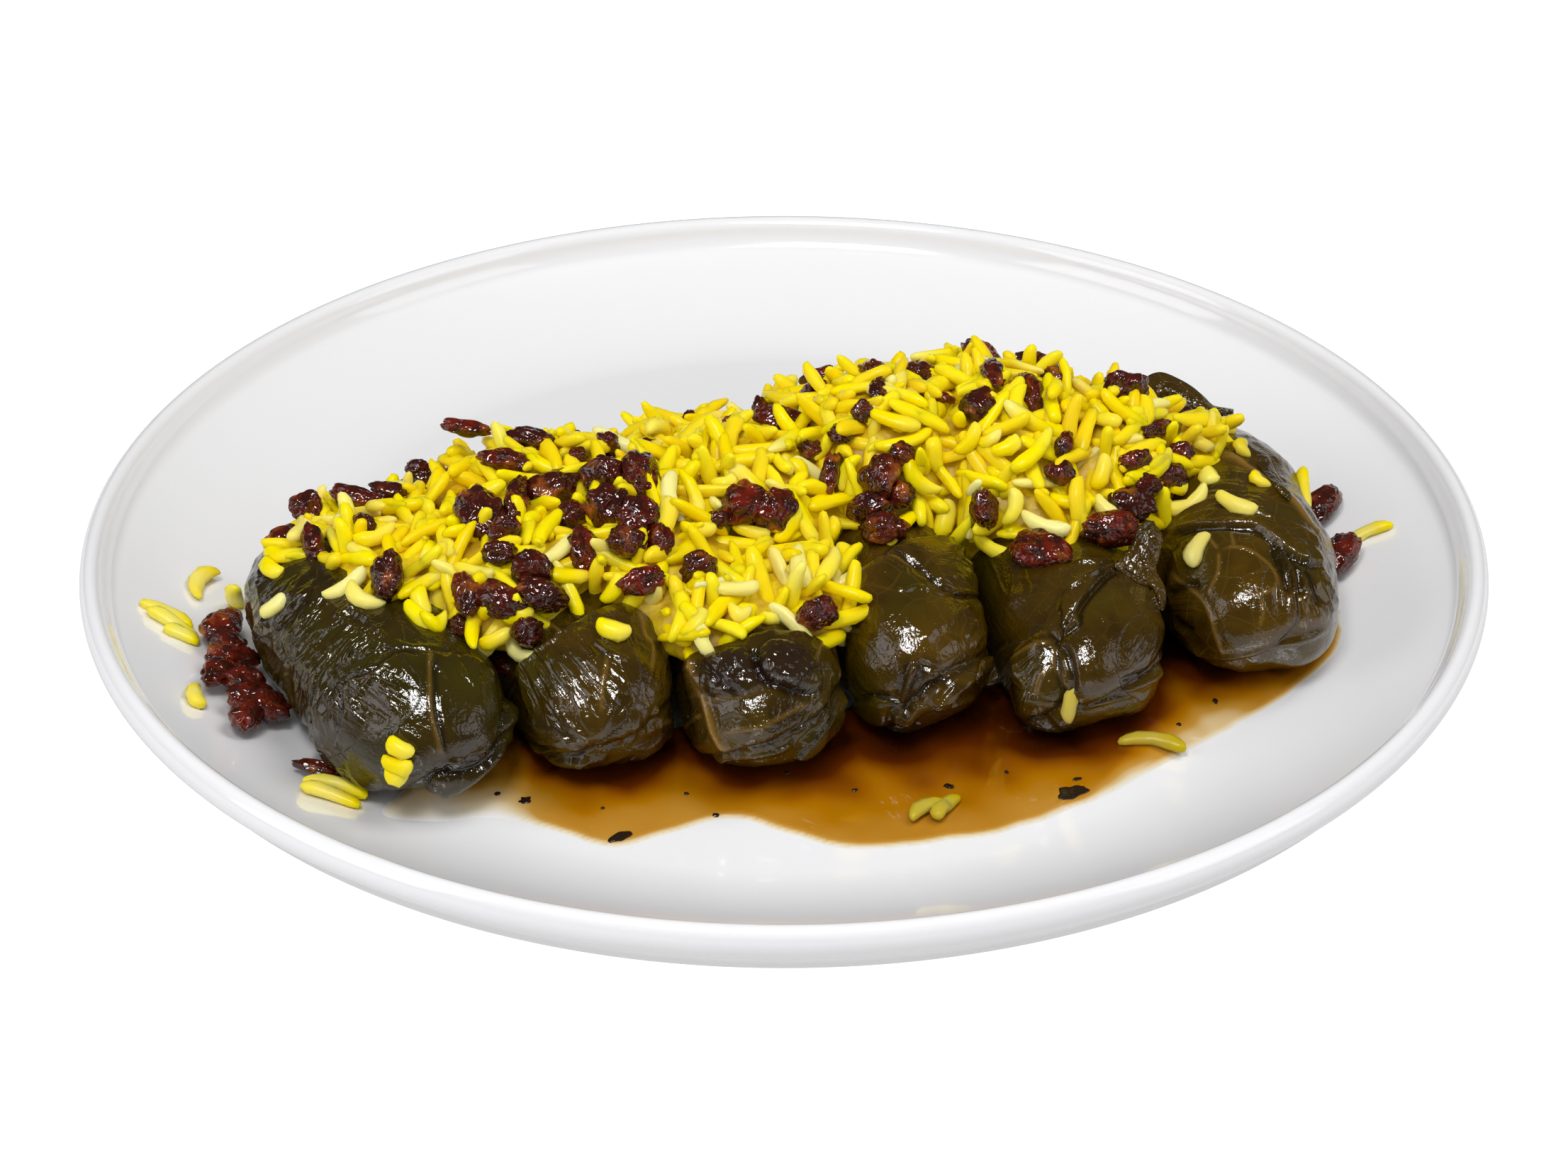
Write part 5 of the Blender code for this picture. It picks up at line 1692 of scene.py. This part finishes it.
def make_rice(look, taken, rolls_tree, sight):
    dice = random.Random(21)
    shapes = [grain_shape(kind, dice) for kind in range(12)]
    parts = []
    for start, end, paleness in SEEN_GRAINS:
        places, faces, x = dice.choice(shapes)
        laid, length = laid_between(sight, start, end, GRAIN_LIFT, GRAIN_LENGTHS)
        laid = laid @ Matrix.Rotation(dice.uniform(-0.5, 0.5), 4, "X")
        taken.append((laid.translation.copy(), GRAIN_ROOM * MM))
        size = np.array((length / GRAIN_LENGTH, dice.uniform(0.95, 1.15), dice.uniform(0.95, 1.15)))
        values = {"tint": dice.uniform(0.4, 1), "pale": np.clip(paleness + 0.15 * x, 0, 1)}
        values["soaked"] = SOAKED_GRAINS.get(start, 0.0)
        parts.append((places, faces, laid, size, values))
    for place, normal in spread_over_heap(dice, GRAIN_COUNT, GRAIN_SPACING, taken, rolls_tree):
        places, faces, x = dice.choice(shapes)
        place = place + normal * dice.uniform(-0.0024, 0.0008)
        if dice.random() < 0.18:
            steep = dice.choice((-1, 1)) * dice.uniform(0.7, 1.2)
        else:
            steep = dice.gauss(0, 0.34)
        laid = laid_matrix(place, normal, dice.uniform(0, math.tau), steep)
        laid = laid @ Matrix.Rotation(dice.uniform(0, math.tau), 4, "X")
        length = dice.uniform(0.45, 0.7) if dice.random() < 0.15 else dice.uniform(0.95, 1.35)
        size = np.array((length, dice.uniform(0.8, 1.15), dice.uniform(0.85, 1.2)))
        parts.append((places, faces, laid, size, grain_values(dice, x)))
    for place, turn, tilt, length in LOOSE_GRAINS:
        places, faces, x = dice.choice(shapes)
        laid = loose_matrix(place, turn, tilt)
        values = {"tint": dice.uniform(0.3, 1), "pale": np.clip(0.45 - 0.5 * np.abs(x) + 0.2 * x, 0, 1)}
        values["soaked"] = 0.75 if place in SUNK_GRAINS else 0.0
        parts.append((places, faces, laid, np.array((length, 1.1, 1.0)), values))
    return joined("saffron_rice_grains", parts, look)


def berry_shape(seed):
    """A dried barberry along X, with long wrinkles and a puckered end."""
    places, faces = ball(4)
    unit = places * 2
    lumps = noise(unit * 1.3 + seed * 3.1) * 0.35
    lobes = np.sqrt(np.abs(noise(unit * np.array((1.1, 1.9, 1.9)) + seed * 1.7))) * 0.38
    fine = np.sqrt(np.abs(noise(unit * 4.5 + seed))) * 0.05
    long_wrinkles = creased(unit * np.array((0.8, 2.4, 2.4)) + seed * 2.3, seed) * 0.12
    places = places * (0.78 + lumps + lobes + fine + long_wrinkles)[:, None]
    places = places * np.array((BERRY_LENGTH, BERRY_WIDTH, BERRY_WIDTH * 0.75))
    return places, faces


def make_berries(look, taken, rolls_tree, sight):
    dice = random.Random(5)
    shapes = [berry_shape(seed) for seed in range(8)]
    parts = []
    for column, row, width, height, redness in SEEN_BERRIES:
        places, faces = dice.choice(shapes)
        angle = math.radians(dice.uniform(-20, 20) + (0 if width >= height else 90))
        reach = max(width, height) / 2
        step = (reach * math.cos(angle), reach * math.sin(angle))
        start = (column - step[0], row - step[1])
        end = (column + step[0], row + step[1])
        laid, length = laid_between(sight, start, end, BERRY_LIFT, BERRY_LENGTHS)
        laid = laid @ Matrix.Rotation(dice.uniform(0, math.tau), 4, "X")
        taken.append((laid.translation.copy(), BERRY_ROOM * length))
        thick = min(width, height) / PIXELS_PER_MM * MM / BERRY_WIDTH * 1.15
        size = np.array((length / BERRY_LENGTH, thick, thick))
        parts.append((places, faces, laid, size, {"tint": redness}))
    for place, normal in spread_over_heap(dice, BERRY_COUNT, BERRY_SPACING, taken, rolls_tree, True):
        places, faces = dice.choice(shapes)
        yaw = dice.uniform(0, math.tau)
        laid = laid_matrix(place + normal * 0.0008, normal, yaw, dice.uniform(-0.4, 0.4))
        size = np.array((dice.uniform(0.75, 1.05), dice.uniform(0.7, 1.05), dice.uniform(0.8, 1.1)))
        parts.append((places, faces, laid, size, {"tint": dice.uniform(0, 1)}))
    for place, turn, length, thick in LOOSE_BERRIES:
        places, faces = dice.choice(shapes)
        size = np.array((length * MM / BERRY_LENGTH, thick, thick))
        parts.append((places, faces, loose_matrix(place, turn), size, {"tint": dice.uniform(0.3, 1)}))
    return joined("barberry_bunch", parts, look)


# The juice


def off_rolls(rolls_tree, places):
    """Distance of places from the nearest roll, and 0 inside one."""
    distances = np.zeros(len(places))
    for index, place in enumerate(places):
        found, normal, _, distance = rolls_tree.find_nearest(Vector(place))
        if (Vector(place) - found).dot(normal) > 0:
            distances[index] = distance
    return distances


def wavy_shore():
    """The edge of the juice as a loop in metres, with small waves."""
    shore = smooth_loop(JUICE_EDGE, 8) * MM
    waves = noise(np.column_stack([shore / SHORE_WAVE, np.zeros(len(shore))]))
    outward = shore - shore.mean(axis=0)
    outward /= np.linalg.norm(outward, axis=1)[:, None]
    return shore + outward * waves[:, None] * SHORE_WAVE_HEIGHT


def pool_grid(shore):
    """A flat grid over the pool, cut near the shore and drawn to it."""
    low = shore.min(axis=0) - JUICE_CELL
    high = shore.max(axis=0) + JUICE_CELL
    across, along = high - low
    columns = int(across / JUICE_CELL)
    bpy.ops.mesh.primitive_grid_add(x_subdivisions=columns, y_subdivisions=int(along / JUICE_CELL), size=1)
    pool = bpy.context.object
    places = places_of(pool) * np.array((across, along, 1)) + np.array((*(low + high) / 2, 0))
    move_to(pool, places)
    closed = np.vstack([shore, shore[:1]])
    signed, _ = beside_path(places[:, :2], closed)
    outside = ~inside_loop(places[:, :2], shore) & (np.abs(signed) > 0.4 * JUICE_CELL)
    shape = bmesh.new()
    shape.from_mesh(pool.data)
    shape.verts.ensure_lookup_table()
    bmesh.ops.delete(shape, geom=[v for v, out in zip(shape.verts, outside) if out], context="VERTS")
    for vertex in [v for v in shape.verts if v.is_boundary]:
        spot = np.array(vertex.co[:2])
        vertex.co.x, vertex.co.y = nearest_on(closed, spot) * TO_SHORE + spot * FROM_GRID
    shape.to_mesh(pool.data)
    shape.free()
    return pool


def juice_strength(places, from_shore, to_roll):
    """How dark the juice is at each place, from the palest shore at 0 to the rolls' feet at 1, with painted
    shade and reflection near and between the rolls.
    """
    x, y, _ = places.T / MM
    deeper = smooth_step(from_shore, 0.002, 0.014)
    depth = OPEN_STRENGTH + DEEP_STRENGTH * deeper + BLOTCH_STRENGTH * noise(places / 0.010)
    shore_rise = np.clip(from_shore / (along_x(x, SHORE_FADE) * MM), along_x(x, SHORE_STRENGTH), 1)
    depth *= shore_rise * (0.16 + 0.84 * smooth_step(x, -50, -33))
    # Darker round the rolls' feet: deeper juice together with painted shade and reflection of the rolls
    off_roll = to_roll * (1 + 0.5 * noise(places / 0.007 + 9))
    dark = ROUND_ROLLS_DEPTH_AND_SHADE * bell(off_roll, along_x(x, DEPTH_AND_SHADE_REACH) * MM)
    dark += CLOSE_TO_ROLLS_DEPTH_AND_SHADE * bell(off_roll, CLOSE_TO_ROLLS, 1.4)
    dark *= 0.55 + 0.45 * smooth_step(x, -56, -46)
    # Painted shade in the gaps between the rolls
    between = smooth_step(y, -56, -48) * (x < -38)
    between += smooth_step(y, -30, -20) * (x > 50) * (x < 70)
    shore_fade = np.clip(from_shore / 0.0014, 0, 1)
    return np.clip((depth + dark) * shore_fade + BETWEEN_ROLLS_PAINTED_SHADE * between, 0, 1)


def make_juice(look, rolls_tree):
    """A pool with a domed edge that climbs the rolls' feet, and an underside."""
    shore = wavy_shore()
    juice = pool_grid(shore)
    juice.name = "juice_pool"
    places = places_of(juice)
    signed, _ = beside_path(places[:, :2], np.vstack([shore, shore[:1]]))
    from_shore = np.abs(signed)
    bed = plate_top(np.linalg.norm(places[:, :2], axis=1))
    swell = 1 - np.exp(-from_shore / JUICE_SLOPE)
    skin = SHORE_FILM * np.clip(from_shore / MM, 0, 1) - SHORE_SINK
    pool_level = FLOOR_TOP + skin + 0.8 * JUICE_DEPTH * swell
    places[:, 2] = np.maximum(bed + skin + WALL_FILM * swell, pool_level)
    to_roll = off_rolls(rolls_tree, places)
    climb = np.exp(-to_roll / CLIMB_REACH)
    broken = np.clip(0.75 + 1.6 * noise(places / 0.0075 + 4), 0.35, 1)
    places[:, 2] += CLIMB_HEIGHT * climb * broken * np.clip(from_shore / 0.003, 0, 1)
    move_to(juice, places)
    paint(juice, strength=juice_strength(places, from_shore, to_roll))
    thicken(juice, JUICE_SKIN, -1)
    bpy.ops.object.shade_smooth_by_angle(angle=math.radians(60))
    dress(juice, look)
    return juice


# Floor, light and camera


def make_floor():
    bpy.ops.mesh.primitive_plane_add(size=FLOOR_SIZE, location=(0, 0, -FLOOR_DROP))
    floor = bpy.context.object
    floor.name = "studio_floor"
    look, shader, tree = new_look("studio_white", 0.9)
    seen = new_node(tree, "LightPath").outputs["Is Camera Ray"]
    glow = grey_ramp(tree, seen, 0, 1, (FLOOR_GLOW, 1.0))
    set_inputs(tree, shader, {"Base Color": FLOOR_GREY, "Specular IOR Level": 0.0})
    set_inputs(tree, shader, {"Emission Color": WHITE, "Emission Strength": glow})
    floor.data.materials.append(look)


def add_softbox(name, place, size, brightness, tint, unseen_by):
    """A soft light whose face shows as so many times white."""
    lamp = bpy.data.lights.new(name, "AREA")
    lamp.shape = "RECTANGLE"
    lamp.size, lamp.size_y = size
    lamp.energy = brightness * math.pi * size[0] * size[1]
    lamp.color = tint
    holder = bpy.data.objects.new(name, lamp)
    holder.location = place
    holder.rotation_euler = (CAMERA_TARGET - Vector(place)).to_track_quat("-Z", "Y").to_euler()
    holder.visible_diffuse = unseen_by != "diffuse"
    holder.visible_glossy = unseen_by != "glossy"
    bpy.context.scene.collection.objects.link(holder)


def make_lights():
    world = bpy.data.worlds.new("studio")
    world.use_nodes = True
    tree = world.node_tree
    mirrored = new_node(tree, "LightPath").outputs["Is Glossy Ray"]
    glow = grey_ramp(tree, mirrored, 0, 1, (ROOM_GLOW, ROOM_MIRRORED))
    set_inputs(tree, tree.nodes["Background"], {"Color": WHITE, "Strength": glow})
    bpy.context.scene.world = world
    for name, light in LIGHTS.items():
        add_softbox(name, *light)


def make_camera():
    lens = bpy.data.cameras.new("photo_camera")
    lens.lens = LENS
    lens.sensor_width = SENSOR
    camera = bpy.data.objects.new("photo_camera", lens)
    camera.location = CAMERA_PLACE
    camera.rotation_euler = LOOK.to_track_quat("-Z", "Y").to_euler()
    bpy.context.scene.collection.objects.link(camera)
    bpy.context.scene.camera = camera


def settle(piece, slot, *nodes):
    """A piece rides on the dish and stands for its CAD nodes, which are hidden. The slot is not used."""
    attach(piece, "root")
    if nodes:
        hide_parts(*nodes)


def main():
    make_camera()
    make_lights()
    make_floor()
    bpy.context.scene.view_settings.view_transform = "Standard"
    plate = make_plate()
    grid = roll_grid()
    leaf = leaf_look()
    rolls = [make_roll(name, index, grid, leaf) for index, name in enumerate(ROLLS)]
    bpy.data.objects.remove(grid)
    rolls_tree = surface_tree(rolls)
    core = make_core(shaded_core_look())
    juice = make_juice(juice_look(), rolls_tree)
    sight = PhotoSight([plate, core, juice] + rolls)
    taken = []
    berries = make_berries(berry_look(), taken, rolls_tree, sight)
    taken = [(place, min(room, 0.0030)) for place, room in taken]
    grains = make_rice(rice_look(), taken, rolls_tree, sight)
    sheets = make_sheets(sight, leaf)
    scraps = make_scraps(sight, leaf)
    settle(sheets, "vine_leaf")
    settle(scraps, "vine_leaf")
    settle(plate, "porcelain", "plate")
    for piece, name in zip(rolls, ROLLS):
        settle(piece, "vine_leaf", name)
    settle(core, "saffron_rice", "rice_topping")
    settle(grains, "saffron_rice", "rice_topping")
    settle(berries, "barberry", *LOOSE_BERRY_NODES)
    settle(juice, "juice", "sauce")


main()
